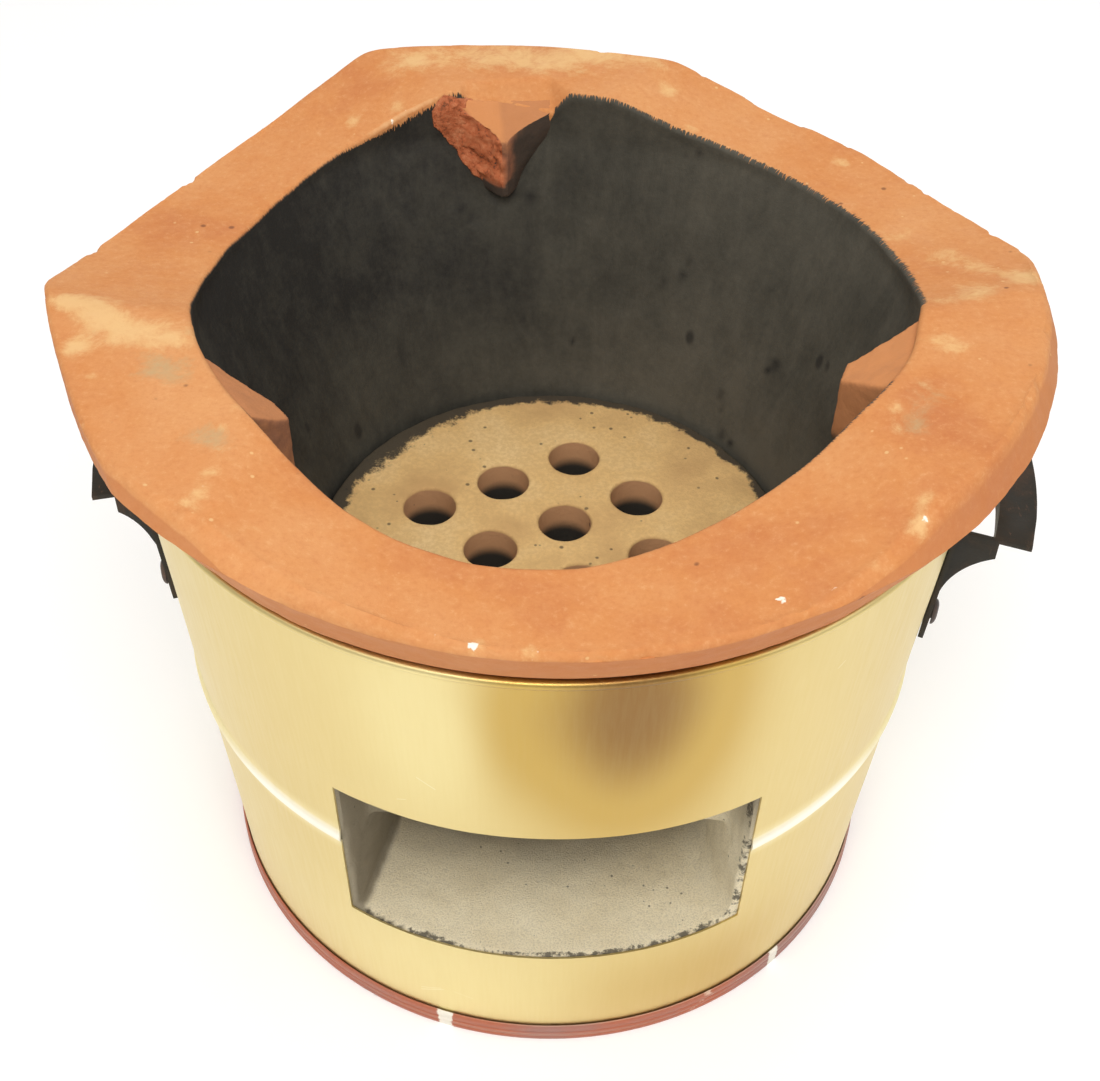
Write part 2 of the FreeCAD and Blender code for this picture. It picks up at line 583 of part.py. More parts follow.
def split_side(body, nose, root, sky):
    """Break the upper left flank off a pot rest, from its ramp down to its side."""
    low = f"({REST_NOSE_Z} - sizes.break_depth)"
    far = "(3 * sizes.rest_root_half)"
    stations = (
        ("nose", f"({nose} - sizes.rest_nose_half)", "0"),
        ("root", root, "(sizes.rest_root_half - sizes.break_root)"),
    )
    sections = []
    for station, reach, upper in stations:
        sketch = new_sketch(body, f"split_{station}", role="YZ_Plane", off=reach)
        draw_outline(sketch, [
            (f"({upper} + sizes.rest_nose_half)", low),
            (far, low),
            (far, sky),
            (upper, sky),
        ])
        sections.append(sketch)
    split = body.newObject("PartDesign::SubtractiveLoft", "split")
    split.Profile = sections[0]
    split.Sections = sections[1:]
    split.Ruled = True
    body.Document.recompute()


def make_duct_lining(doc):
    """Mortar lining of the air duct, with the screed on the ash chamber's floor."""
    body = new_body(doc, "duct_lining")
    duct_steps(body, "lining", "Pad", "sizes.duct_wall")
    inset = "(sizes.wall_gauge + sizes.lute_gap)"
    top = f"({OPENING_HIGH} + 2 * sizes.duct_wall)"
    front = new_sketch(body, "front_profile")
    far = f"(2 * {DUCT_REACH})"
    draw_outline(front, [
        (wall_radius("sizes.bed_top", inset), "sizes.bed_top"),
        (far, "sizes.bed_top"),
        (far, top),
        (wall_radius(top, inset), top),
    ])
    revolve(body, front, "front_trim", kind="Groove")
    back = new_sketch(body, "chamber_outline", role="XY_Plane", off="sizes.bed_top")
    draw_circle(back, "0", "0", f"({CHAMBER_RADIUS} - sizes.lute_gap)")
    extrude(body, back, "chamber_trim", OPENING_HIGH, kind="Pocket", backward=True)
    screed = new_sketch(body, "screed_outline", role="XY_Plane", off=CHAMBER_FLOOR)
    draw_circle(screed, "0", "0", f"({CHAMBER_RADIUS} - sizes.lute_gap)")
    extrude(body, screed, "screed", f"({OPENING_LOW} - {CHAMBER_FLOOR})")
    duct_steps(body, "duct", "Pocket", "0")
    cove_cheek(body)
    return body


def cove_cheek(body):
    """Round the corner between the duct's floor and its right cheek, where the mortar was smeared."""
    duct = body.Tip
    floor = value_of(body.Document, OPENING_LOW)
    throat = value_of(body.Document, DUCT_THROAT_HALF)
    names = []
    for number, edge in enumerate(duct.Shape.Edges, start=1):
        ends = [vertex.Point for vertex in edge.Vertexes]
        level = all(abs(spot.z - floor) < 1e-6 and spot.x > throat / 2 for spot in ends)
        if level and isinstance(edge.Curve, Part.Line):
            names.append(f"Edge{number}")
    cove = body.newObject("PartDesign::Fillet", "cove")
    cove.Base = (duct, names)
    cove.setExpression("Radius", "sizes.duct_cove")
    body.Document.recompute()


def make_handle(doc, side, start):
    """Pressed sheet handle: flat grip with an inner skirt, two flared legs and their riveted feet."""
    body = new_body(doc, f"handle_{side}")
    gauge = "sizes.handle_gauge"
    inner = f"({GRIP_RADIUS} - sizes.grip_width)"
    below = f"({HANDLE_TOP} - {gauge})"
    grip = new_sketch(body, "grip_profile")
    draw_outline(grip, [
        (inner, f"({HANDLE_TOP} - sizes.grip_skirt)"),
        (f"({inner} + {gauge})", f"({HANDLE_TOP} - sizes.grip_skirt)"),
        (f"({inner} + {gauge})", below),
        (GRIP_RADIUS, below),
        (GRIP_RADIUS, HANDLE_TOP),
        (inner, HANDLE_TOP),
    ])
    revolve(body, grip, "grip", sweep="(2 * sizes.handle_half_angle)")
    stand = "(sizes.foot_gap + sizes.handle_gauge)"
    for end in (-1, 1):
        turn = f"({end} * sizes.handle_half_angle)"
        name = "front" if end < 0 else "back"
        leg = new_sketch(body, f"{name}_leg_profile", turn=turn)
        leg_low = f"({HANDLE_TOP} - sizes.leg_foot_high)"
        draw_outline(leg, [
            (wall_radius(HANDLE_TOP, "-sizes.foot_gap"), HANDLE_TOP),
            (wall_radius(leg_low, "-sizes.foot_gap"), leg_low),
            (wall_radius(leg_low, f"-{stand}"), leg_low, "-sizes.leg_foot_high"),
            (f"({inner} + {gauge})", f"({HANDLE_TOP} - sizes.grip_skirt)"),
            (f"({inner} + {gauge})", HANDLE_TOP),
        ])
        extrude(body, leg, f"{name}_leg", gauge, both=True)
        foot = new_sketch(body, f"{name}_foot_profile", turn=turn)
        draw_outline(foot, [
            (wall_radius(FOOT_LOW, "-sizes.foot_gap"), FOOT_LOW),
            (wall_radius(FOOT_LOW, f"-{stand}"), FOOT_LOW),
            (wall_radius(HANDLE_TOP, f"-{stand}"), HANDLE_TOP),
            (wall_radius(HANDLE_TOP, "-sizes.foot_gap"), HANDLE_TOP),
        ])
        revolve(body, foot, f"{name}_foot", sweep="(2 * sizes.foot_half_angle)")
        hole = new_sketch(body, f"{name}_hole_outline", role="YZ_Plane", turn=turn)
        draw_circle(hole, "0", RIVET_Z, "(sizes.rivet_radius + sizes.rivet_slack)")
        extrude(body, hole, f"{name}_hole", f"(2 * {GRIP_RADIUS})", kind="Pocket", backward=True)
    body.setExpression("Placement.Rotation.Angle", f"({start} + sizes.handle_turn)")
    return body


def make_handle_rivets(doc):
    """Rivets through the handle feet and the tin, each with a domed head and a clenched tail."""
    body = new_body(doc, "handle_rivets")
    body.AllowCompound = True
    sheet_in = wall_radius(RIVET_Z, "(sizes.wall_gauge + sizes.rivet_seat)")
    foot_out = wall_radius(RIVET_Z, "-(sizes.foot_gap + sizes.handle_gauge + sizes.rivet_seat)")
    tail = "((sizes.rivet_radius + sizes.rivet_head) / 2)"
    for start in (0, 180):
        for end in (-1, 1):
            turn = f"({start} + sizes.handle_turn + {end} * sizes.handle_half_angle)"
            name = f"{'left' if start else 'right'}_{'front' if end < 0 else 'back'}"
            sketch = new_sketch(body, f"{name}_rivet_profile", turn=turn, rise=RIVET_Z)
            draw_outline(sketch, [
                (f"({sheet_in} - sizes.rivet_tail)", "0"),
                (f"({foot_out} + sizes.rivet_dome)", "0"),
                (f"({foot_out} + sizes.rivet_dome)", "sizes.rivet_crown"),
                (foot_out, "sizes.rivet_head"),
                (foot_out, "sizes.rivet_radius"),
                (sheet_in, "sizes.rivet_radius"),
                (sheet_in, tail),
                (f"({sheet_in} - sizes.rivet_tail)", tail),
            ])
            rivet = body.newObject("PartDesign::Revolution", f"{name}_rivet")
            rivet.Profile = sketch
            rivet.ReferenceAxis = (sketch, ["H_Axis"])
            rivet.Angle = 360.0
            doc.recompute()
    return body


def main():
    """Build every piece, check it and write it out."""
    doc = FreeCAD.newDocument("clay_stove")
    make_sheet(doc)
    pieces = [
        make_tin_wall(doc),
        make_base_pan(doc),
        make_ash_bedding(doc),
        make_insulation_fill(doc),
        make_fire_bowl(doc),
        make_grate(doc),
        make_duct_lining(doc),
        make_pot_rest(doc, "back", True),
        make_pot_rest(doc, "left", False),
        make_pot_rest(doc, "right", False),
        make_handle(doc, "right", 0),
        make_handle(doc, "left", 180),
        make_handle_rivets(doc),
    ]
    doc.recompute()
    for piece in doc.Objects:
        if "Invalid" in piece.State or "Error" in piece.State:
            raise RuntimeError(f"{piece.Name} failed: {piece.State}")
    os.makedirs("parts", exist_ok=True)
    for piece in pieces:
        if piece.Shape.isNull() or not piece.Shape.isValid():
            raise RuntimeError(f"{piece.Label} is not a valid solid")
        print(f"{piece.Label}: {len(piece.Shape.Solids)} solid, {piece.Shape.Volume:.0f} cubic mm")
        piece.Shape.exportStep(f"parts/{piece.Label}.step")


main()
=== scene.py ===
"""Looks for the charcoal clay stove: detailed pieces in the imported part's own frame.

Lengths are millimetres while a piece is shaped and metres once it is a mesh. A way is a direction round the
axis in degrees, 0 to the right and 270 to the front. A mark is a number that a mesh carries at each point,
which the piece's finish reads by name.
"""

import logging
import math
from dataclasses import dataclass, field
from enum import Enum
from functools import reduce
from typing import Callable, Iterable, Sequence

import bmesh
import bpy
from mathutils import Matrix, Vector, noise


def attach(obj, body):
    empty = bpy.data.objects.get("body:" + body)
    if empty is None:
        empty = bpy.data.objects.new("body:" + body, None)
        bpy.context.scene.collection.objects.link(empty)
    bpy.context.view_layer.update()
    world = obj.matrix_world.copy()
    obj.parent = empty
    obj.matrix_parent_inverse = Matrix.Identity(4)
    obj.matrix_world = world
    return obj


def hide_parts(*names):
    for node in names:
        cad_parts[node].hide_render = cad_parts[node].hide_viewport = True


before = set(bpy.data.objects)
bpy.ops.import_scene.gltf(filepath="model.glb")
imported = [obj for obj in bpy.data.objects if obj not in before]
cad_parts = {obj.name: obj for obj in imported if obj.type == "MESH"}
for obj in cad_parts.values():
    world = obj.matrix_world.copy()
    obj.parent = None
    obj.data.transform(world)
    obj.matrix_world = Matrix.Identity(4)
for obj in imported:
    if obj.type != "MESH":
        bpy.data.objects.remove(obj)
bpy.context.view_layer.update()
LOG = logging.getLogger("clay_stove")
MM = 0.001
FRONT = 270.0
BACK = 90.0
MERGE = 1e-3

Colour = tuple[float, float, float]
Pair = tuple[float, float]
Triple = tuple[float, float, float]
Spot = tuple[float, float, float, float]
Socket = bpy.types.NodeSocket
Shape = bmesh.types.BMesh
Point = bmesh.types.BMVert
Layers = dict[str, object]


class Body(Enum):
    """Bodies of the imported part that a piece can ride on."""

    STOVE = "stove"
    LOOSE_GRATE = "loose_grate"


class Side(Enum):
    """Places round the bowl where a pot rest stands."""

    BACK = "back"
    LEFT = "left"
    RIGHT = "right"


class Shader:
    """Node tree of one finish, with short calls for the nodes that it uses."""

    def __init__(self, name: str) -> None:
        """Start a material with a principled shader and object coordinates."""
        self.material = bpy.data.materials.new(name)
        self.material.use_nodes = True
        self.nodes = self.material.node_tree.nodes
        self.nodes.clear()
        self.bsdf = self.node("BsdfPrincipled")
        self.node("OutputMaterial", self.bsdf.outputs[0])
        self.place = self.node("TexCoord").outputs["Object"]

    def feed(self, target: Socket, value: object) -> None:
        """Give an input a socket's value, or a number, a vector or a colour."""
        if isinstance(value, Socket):
            self.material.node_tree.links.new(value, target)
        elif isinstance(value, tuple) and target.type == "RGBA":
            target.default_value = (*value, 1.0)
        else:
            target.default_value = value

    def fill(self, node: bpy.types.Node, inputs: dict[str, object]) -> None:
        """Feed inputs of a node by name, with underscores for the spaces in their names."""
        for name, value in inputs.items():
            self.feed(node.inputs[name.replace("_", " ")], value)

    def set(self, **inputs: object) -> None:
        """Set inputs of the principled shader."""
        self.fill(self.bsdf, inputs)

    def node(self, kind: str, *values: object, **inputs: object) -> bpy.types.Node:
        """Add a node.

        Args:
            kind: Its type, without the words that all types start with.
            values: What its first inputs are fed.
            inputs: What other inputs are fed, by name.

        Returns:
            The node.
        """
        node = self.nodes.new(f"ShaderNode{kind}")
        for number, value in enumerate(values):
            self.feed(node.inputs[number], value)
        self.fill(node, inputs)
        return node

    def stretched(self, *scale: float) -> Socket:
        """Object coordinates stretched along the axes."""
        return self.node("Mapping", self.place, Scale=scale).outputs[0]

    def noise(self, scale: float, detail: float = 3.0, rough: float = 0.55, vector: Socket | None = None,
              warp: float = 0.0) -> Socket:
        """Noise between 0 and 1.

        Args:
            scale: Features in a metre.
            detail: Number of finer layers.
            rough: Strength of the finer layers.
            vector: Coordinates, the object's own if none are given.
            warp: Distortion of the pattern.

        Returns:
            The noise value.
        """
        node = self.node("TexNoise", vector or self.place, Scale=scale, Detail=detail, Roughness=rough,
                         Distortion=warp)
        return node.outputs["Fac"]

    def ragged(self, *pattern: object) -> Socket:
        """Noise about zero, of the pattern that noise() takes."""
        return self.math("SUBTRACT", self.noise(*pattern), 0.5)

    def cells(self, scale: float, vector: Socket | None = None, edges: bool = False) -> Socket:
        """Distance to the middle of scattered cells, or to their borders."""
        node = self.node("TexVoronoi", vector or self.place, Scale=scale)
        node.feature = "DISTANCE_TO_EDGE" if edges else "F1"
        return node.outputs["Distance"]

    def attribute(self, name: str, output: str = "Fac") -> Socket:
        """Mark that the mesh carries, as a number or as a vector."""
        node = self.node("Attribute")
        node.attribute_name = name
        return node.outputs[output]

    def axis(self, name: str) -> Socket:
        """One axis of the object coordinates."""
        return self.node("SeparateXYZ", self.place).outputs[name]

    def math(self, kind: str, first: object, second: object) -> Socket:
        """Arithmetic on two values."""
        node = self.node("Math", first, second)
        node.operation = kind
        return node.outputs[0]

    def add(self, *values: object) -> Socket:
        """Sum of values."""
        return reduce(lambda first, second: self.math("ADD", first, second), values)

    def times(self, first: object, second: object) -> Socket:
        """Product of two values."""
        return self.math("MULTIPLY", first, second)

    def span(self, value: Socket, low: float, high: float, start: float = 0.0, end: float = 1.0) -> Socket:
        """Stretch low to high over start to end, and hold the ends."""
        node = self.node("MapRange", value, From_Min=low, From_Max=high, To_Min=start, To_Max=end)
        node.interpolation_type = "SMOOTHSTEP"
        return node.outputs[0]

    def ramp(self, value: Socket, *stops: tuple[float, Colour]) -> Socket:
        """Colours along a value."""
        node = self.node("ValToRGB", value)
        elements = node.color_ramp.elements
        while len(elements) < len(stops):
            elements.new(0.5)
        for element, (place, colour) in zip(elements, stops):
            element.position = place
            element.color = (*colour, 1.0)
        return node.outputs[0]

    def mix(self, amount: Socket, under: object, over: object) -> Socket:
        """Mix one colour over another by an amount."""
        node = self.node("Mix")
        node.data_type = "RGBA"
        for number, value in ((0, amount), (6, under), (7, over)):
            self.feed(node.inputs[number], value)
        return node.outputs[2]

    def lay(self, under: object, over: object, value: Socket, *ends: float) -> Socket:
        """Mix one colour over another by a value, which is stretched as span() does."""
        return self.mix(self.span(value, *ends), under, over)

    def flecks(self, cells: Socket, cloud: Socket, gaps: Triple, sizes: Triple) -> Socket:
        """Scattered flecks or lines, with gaps where a cloud pattern is high.

        Args:
            cells: Distance to the flecks' middles or to the lines.
            cloud: Pattern of the gaps.
            gaps: Where in the cloud a gap starts and ends, and how far it pushes the flecks away.
            sizes: Distances where a fleck is full and where it ends, and its strength.

        Returns:
            The amount of fleck.
        """
        start, end, push = gaps
        full, edge, strength = sizes
        return self.span(self.add(cells, self.span(cloud, start, end, 0.0, push)), full, edge, strength, 0.0)

    def bump(self, height: Socket, depth: float, strength: float, under: Socket | None = None) -> Socket:
        """Normal of a height pattern, of a depth in millimetres, that lies on another normal."""
        node = self.node("Bump", Strength=strength, Distance=depth * MM, Height=height)
        if under is not None:
            self.feed(node.inputs["Normal"], under)
        return node.outputs[0]

    def dull(self, pattern: Socket, least: float, most: float) -> Socket:
        """Roughness that follows a pattern."""
        return self.span(pattern, 0.3, 0.7, least, most)

    def grainy(self, colour: Socket, grain: Socket, dull: Pair, bump: Pair, shine: float = 0.5) -> None:
        """Set a surface of one grain: least and most roughness, and depth and strength of its bumps."""
        self.set(Base_Color=colour, Roughness=self.dull(grain, *dull), Normal=self.bump(grain, *bump),
                 Specular_IOR_Level=shine)


@dataclass(frozen=True)
class Finish:
    """Look of one kind of surface."""

    title: str = "finish"

    def lay_out(self, shader: Shader) -> None:
        """Lay the look's nodes out in a tree."""
        raise NotImplementedError

    def material(self) -> bpy.types.Material:
        """Build the node material."""
        shader = Shader(self.title)
        self.lay_out(shader)
        return shader.material


@dataclass(frozen=True)
class BowlClay(Finish):
    """Terracotta of the fire bowl, with worn edges, pale and stained patches, a charcoal coat, and painted
    shade on the rim's outer face and across the coat.
    """

    title: str = "fire_bowl_clay"
    red: Colour = (0.52, 0.17, 0.055)
    orange: Colour = (0.62, 0.245, 0.078)
    light: Colour = (0.68, 0.32, 0.125)
    # Darker clay for the rim's outer face: painted shade.
    face: Colour = (0.52, 0.185, 0.066)
    cream: Colour = (0.77, 0.50, 0.225)
    stain: Colour = (0.48, 0.35, 0.18)
    worn: Colour = (0.76, 0.43, 0.20)
    chalk: Colour = (0.93, 0.86, 0.72)
    pit: Colour = (0.18, 0.065, 0.03)
    raw: Colour = (0.52, 0.135, 0.05)
    raw_light: Colour = (0.64, 0.24, 0.11)
    # Coat colours; the ramp between them also carries painted shade on the left and painted light on the
    # right.
    coat_dark: Colour = (0.022, 0.020, 0.017)
    coat_mid: Colour = (0.060, 0.055, 0.042)
    coat_pale: Colour = (0.105, 0.094, 0.071)

    def clay(self, shader: Shader) -> Socket:
        """Colour of the bare clay, with painted shade on the rim's outer face."""
        cloud = shader.noise(17, 6, 0.62)
        colour = shader.ramp(cloud, (0.28, self.red), (0.46, self.orange), (0.72, self.light))
        colour = shader.lay(colour, self.light, shader.noise(130, 5, 0.7), 0.35, 0.7, 0.0, 0.25)
        tooth = shader.noise(520, 5, 0.75)
        colour = shader.lay(colour, self.red, tooth, 0.30, 0.52, 0.32, 0.0)
        colour = shader.lay(colour, self.worn, tooth, 0.52, 0.74, 0.0, 0.35)
        # Painted shade: the rim's outer face is darkened towards the face colour.
        colour = shader.mix(shader.times(shader.attribute("face"), 0.6), colour, self.face)
        blotch = shader.times(shader.noise(75, 7, 0.78, warp=0.4), 1.7)
        patches = (
            ("pale", self.cream, blotch, 1.05, 1.65, 0.8),
            ("stain", self.stain, blotch, 1.1, 1.75, 0.8),
            ("wear", self.worn, shader.noise(210, 5, 0.75), 0.95, 1.45, 0.8),
            ("chalk", self.chalk, shader.noise(420, 3, 0.6), 1.05, 1.2, 1.0),
        )
        for mark, over, pattern, low, high, most in patches:
            level = shader.add(shader.attribute(mark), pattern)
            colour = shader.lay(colour, over, level, low, high, 0.0, most)
        grains = shader.flecks(shader.cells(170), shader.noise(45), (0.40, 0.60, 0.5), (0.05, 0.13, 0.7))
        dots = shader.flecks(shader.cells(95), shader.noise(30), (0.42, 0.62, 0.5), (0.05, 0.12, 0.75))
        return shader.mix(dots, shader.mix(grains, colour, self.cream), self.pit)

    def coat(self, shader: Shader) -> tuple[Socket, Socket]:
        """Colour of the charcoal coat inside the bowl, with painted shade on its left and painted light on
        its right, and the height of its brush strokes.
        """
        strokes = shader.noise(1.0, 5, 0.65, shader.stretched(130, 130, 24), 0.5)
        shade = shader.add(
            shader.times(shader.noise(30, 6, 0.68), 0.55),
            shader.times(strokes, 0.30),
            shader.times(shader.noise(430, 4, 0.7), 0.22),
            # Painted shade and light: the coat is darker on the left and paler on the right. It is also
            # paler towards the bottom.
            shader.span(shader.axis("X"), -0.10, 0.08, -0.20, 0.13),
            shader.span(shader.axis("Z"), 0.12, 0.175, 0.15, 0.0),
        )
        colour = shader.ramp(shade, (0.30, self.coat_dark), (0.55, self.coat_mid), (0.80, self.coat_pale))
        cells = shader.cells(60, shader.stretched(1.0, 1.0, 0.6))
        pits = shader.flecks(cells, shader.noise(19, 2), (0.38, 0.60, 0.5), (0.06, 0.16, 0.8))
        colour = shader.mix(pits, colour, self.coat_dark)
        return shader.mix(shader.attribute("soot_and_shade"), colour, self.coat_dark), strokes

    def lay_out(self, shader: Shader) -> None:
        """Lay the coat over the clay with a bristled edge, and broken clay over both."""
        coat, strokes = self.coat(shader)
        bristles = shader.ragged(2300, 3, 0.6, shader.attribute("around", "Vector"))
        ragged = shader.ragged(90, 4, 0.65)
        hair = shader.times(bristles, shader.attribute("hair"))
        edge = shader.add(shader.attribute("coat"), hair, shader.times(ragged, 1.1))
        covered = shader.span(edge, -0.25, 0.45)
        crumbs = shader.noise(330, 5, 0.78)
        broken = shader.ramp(crumbs, (0.36, self.pit), (0.46, self.raw), (0.66, self.raw_light))
        bare = shader.span(shader.add(shader.attribute("scar"), shader.times(ragged, 0.9)), 0.42, 0.50)
        grain = shader.bump(shader.noise(1100, 4, 0.7), 0.30, 0.55)
        brushed = shader.bump(shader.times(strokes, covered), 0.7, 0.5, grain)
        shader.set(
            Base_Color=shader.mix(bare, shader.mix(covered, self.clay(shader), coat), broken),
            Roughness=shader.dull(shader.noise(150, 4), 0.68, 0.9),
            Specular_IOR_Level=0.28,
            Normal=shader.bump(shader.times(crumbs, bare), 1.6, 0.7, brushed),
        )


@dataclass(frozen=True)
class RestClay(Finish):
    """Clay of the pot rests: brown flanks darkened by soot and by painted shade, cleaner ramps and a raw red
    break.
    """

    title: str = "pot_rest_clay"
    brown: Colour = (0.27, 0.115, 0.066)
    orange: Colour = (0.62, 0.255, 0.095)
    raw: Colour = (0.52, 0.135, 0.05)
    raw_light: Colour = (0.64, 0.24, 0.11)
    soot_and_shade: Colour = (0.05, 0.043, 0.034)

    def lay_out(self, shader: Shader) -> None:
        """Lay the ramp, the break, the soot and the painted shade over the flanks."""
        cloud = shader.noise(70, 5, 0.65)
        ramp = shader.lay(self.orange, self.brown, cloud, 0.5, 0.85, 0.0, 0.5)
        # Painted shade: flanks that face away from the top take darker colours than the ramps.
        shaded_flank = shader.ramp(cloud, (0.25, self.soot_and_shade), (0.48, self.brown), (0.85, self.orange))
        colour = shader.mix(shader.attribute("ramp"), shaded_flank, ramp)
        crumbs = shader.noise(420, 5, 0.75)
        broken = shader.ramp(crumbs, (0.32, self.soot_and_shade), (0.43, self.raw), (0.7, self.raw_light))
        colour = shader.mix(shader.attribute("break"), colour, broken)
        darkening = shader.add(shader.attribute("soot_and_shade"), shader.noise(120, 4))
        colour = shader.lay(colour, self.soot_and_shade, darkening, 0.8, 1.3, 0.0, 0.9)
        shader.grainy(colour, crumbs, (0.75, 0.95), (0.5, 0.6), 0.25)


@dataclass(frozen=True)
class GrateClay(Finish):
    """Pale gritty clay of the grate, sooted towards its edge, pink inside the holes and black deep in them
    as painted shadow.
    """

    title: str = "grate_clay"
    cream: Colour = (0.82, 0.53, 0.22)
    sand: Colour = (0.88, 0.62, 0.30)
    dull: Colour = (0.64, 0.385, 0.16)
    pink: Colour = (0.62, 0.34, 0.17)
    # Soot, also used for painted shadow deep in the holes.
    soot_and_shade: Colour = (0.045, 0.04, 0.032)

    def lay_out(self, shader: Shader) -> None:
        """Lay the holes' pink, the painted shadow deep in them and the soot over the pale clay."""
        grit = shader.noise(620, 5, 0.72)
        bore = shader.attribute("bore")
        cloud = shader.noise(34, 5, 0.6)
        colour = shader.ramp(cloud, (0.32, self.dull), (0.5, self.cream), (0.72, self.sand))
        colour = shader.lay(colour, self.dull, grit, 0.42, 0.6, 0.4, 0.0)
        colour = shader.mix(bore, colour, self.pink)
        # Painted shadow: the holes go black below their top few millimetres.
        painted_deep_shade = shader.times(bore, shader.span(shader.axis("Z"), 0.109, 0.1145, 1.0, 0.0))
        colour = shader.mix(painted_deep_shade, colour, self.soot_and_shade)
        flecks = shader.flecks(shader.cells(210), shader.noise(55), (0.40, 0.62, 0.45), (0.10, 0.2, 0.7))
        colour = shader.mix(flecks, colour, self.soot_and_shade)
        smear = shader.add(shader.attribute("smear"), shader.times(shader.ragged(80, 5, 0.75), 1.3))
        colour = shader.lay(colour, self.soot_and_shade, smear, 0.42, 0.62, 0.0, 0.95)
        shader.grainy(colour, grit, (0.8, 0.95), (0.55, 0.7), 0.22)


@dataclass(frozen=True)
class GoldTin(Finish):
    """Gold lacquer on rolled tinplate, with painted reflections as brown and pale bands, a painted highlight
    on the bead, rubs, fine scratches, and grime with painted shade.
    """

    title: str = "gold_tin"
    gold: Colour = (0.57, 0.385, 0.103)
    # Brown and pale for the painted reflection bands; pale also for a faint grain.
    brown: Colour = (0.28, 0.15, 0.045)
    pale: Colour = (0.81, 0.69, 0.34)
    scratch: Colour = (0.92, 0.86, 0.64)
    dirt_and_shade: Colour = (0.16, 0.10, 0.05)
    # Near-white of the painted highlight on the bead.
    painted_highlight: Colour = (0.97, 0.94, 0.84)

    def lay_out(self, shader: Shader) -> None:
        """Lay the painted reflection bands, the painted highlight, the scratches, and the grime with painted
        shade over the lacquer.
        """
        drift = shader.ragged(9, 4, 0.5, shader.stretched(1.0, 1.0, 0.45))
        fine = shader.noise(1.0, 4, 0.6, shader.stretched(900, 900, 14))
        painted_sheen = shader.add(shader.attribute("painted_sheen"), shader.times(drift, 0.35))
        # Painted reflections: the band mark turns the lacquer brown where it is high and pale where it is
        # low.
        colour = shader.lay(self.gold, self.brown, painted_sheen, 0.0, 1.0)
        colour = shader.lay(colour, self.pale, painted_sheen, 0.0, -1.0)
        colour = shader.lay(colour, self.pale, fine, 0.35, 0.75, 0.0, 0.06)
        # Painted highlight along the swaged bead.
        colour = shader.lay(colour, self.painted_highlight, shader.attribute("painted_highlight"), 0.05, 0.9, 0.0, 0.9)
        lines = shader.cells(16, shader.stretched(1.0, 1.0, 2.2), True)
        scratches = shader.flecks(lines, shader.noise(21, 2), (0.33, 0.40, 0.3), (0.001, 0.005, 0.6))
        colour = shader.mix(scratches, colour, self.scratch)
        # Grime, with painted shade under the hem and round the opening.
        grime_and_shade = shader.add(shader.attribute("grime_and_shade"), shader.noise(160, 5, 0.7))
        dents = shader.bump(shader.noise(26, 2, 0.4), 0.5, 0.35)
        shader.set(
            Base_Color=shader.lay(colour, self.dirt_and_shade, grime_and_shade, 0.9, 1.5, 0.0, 0.85),
            Metallic=0.92,
            Roughness=shader.add(shader.dull(fine, 0.33, 0.43), shader.times(scratches, 0.2)),
            Normal=shader.bump(fine, 0.02, 0.3, dents),
        )


@dataclass(frozen=True)
class FootPaint(Finish):
    """Red-brown paint on the foot ring, with fine light lines that are painted highlights, and rubbed spots.
    """

    title: str = "foot_paint"
    red: Colour = (0.42, 0.115, 0.055)
    plum: Colour = (0.33, 0.15, 0.12)
    rub: Colour = (0.72, 0.55, 0.42)
    bare: Colour = (0.86, 0.82, 0.72)

    def lay_out(self, shader: Shader) -> None:
        """Lay the painted highlight lines, the rubs and the bare gaps over the paint."""
        lines = shader.noise(1.0, 2, 0.5, shader.stretched(3, 3, 1500))
        colour = shader.lay(self.red, self.plum, shader.noise(14, 4), 0.42, 0.62)
        # Painted highlights: light lines round the ring in the rub colour.
        colour = shader.lay(colour, self.rub, lines, 0.56, 0.66, 0.0, 0.4)
        colour = shader.lay(colour, self.rub, shader.noise(60, 5, 0.7), 0.66, 0.74, 0.0, 0.8)
        gap = shader.add(shader.attribute("bare"), shader.noise(240, 4, 0.7))
        colour = shader.lay(colour, self.bare, gap, 0.95, 1.15, 0.0, 0.95)
        shader.grainy(colour, lines, (0.38, 0.6), (0.25, 0.4))


@dataclass(frozen=True)
class Mortar(Finish):
    """Grey mortar of the air duct, grainy, with dark flecks and painted shade on its left cheek and deep in
    the duct.
    """

    title: str = "duct_mortar"
    grey: Colour = (0.86, 0.745, 0.51)
    light: Colour = (0.93, 0.83, 0.60)
    dark: Colour = (0.30, 0.25, 0.175)
    # Colour of the painted shade.
    shade: Colour = (0.14, 0.112, 0.076)
    fleck: Colour = (0.07, 0.06, 0.045)

    def lay_out(self, shader: Shader) -> None:
        """Lay the painted shade, the flecks and the crumbs over the grey."""
        grit = shader.noise(1700, 4, 0.75)
        cloud = shader.noise(40, 6, 0.65)
        colour = shader.ramp(cloud, (0.10, self.dark), (0.36, self.grey), (0.68, self.light))
        colour = shader.lay(colour, self.dark, grit, 0.36, 0.56, 0.3, 0.0)
        # Painted shade on the left cheek, deep in the duct and under its roof.
        cheek = shader.add(shader.attribute("cheek"), shader.times(cloud, 0.4))
        colour = shader.lay(colour, self.shade, cheek, 0.2, 1.2, 0.0, 0.8)
        flecks = shader.flecks(shader.cells(300), shader.noise(48), (0.38, 0.55, 0.4), (0.08, 0.16, 0.7))
        colour = shader.mix(flecks, colour, self.fleck)
        crumb = shader.add(shader.attribute("crumb"), shader.noise(85, 4, 0.7), shader.noise(420, 4, 0.7))
        colour = shader.lay(colour, self.fleck, crumb, 1.48, 1.66, 0.0, 0.85)
        shader.grainy(colour, grit, (0.85, 0.97), (0.8, 0.8), 0.2)


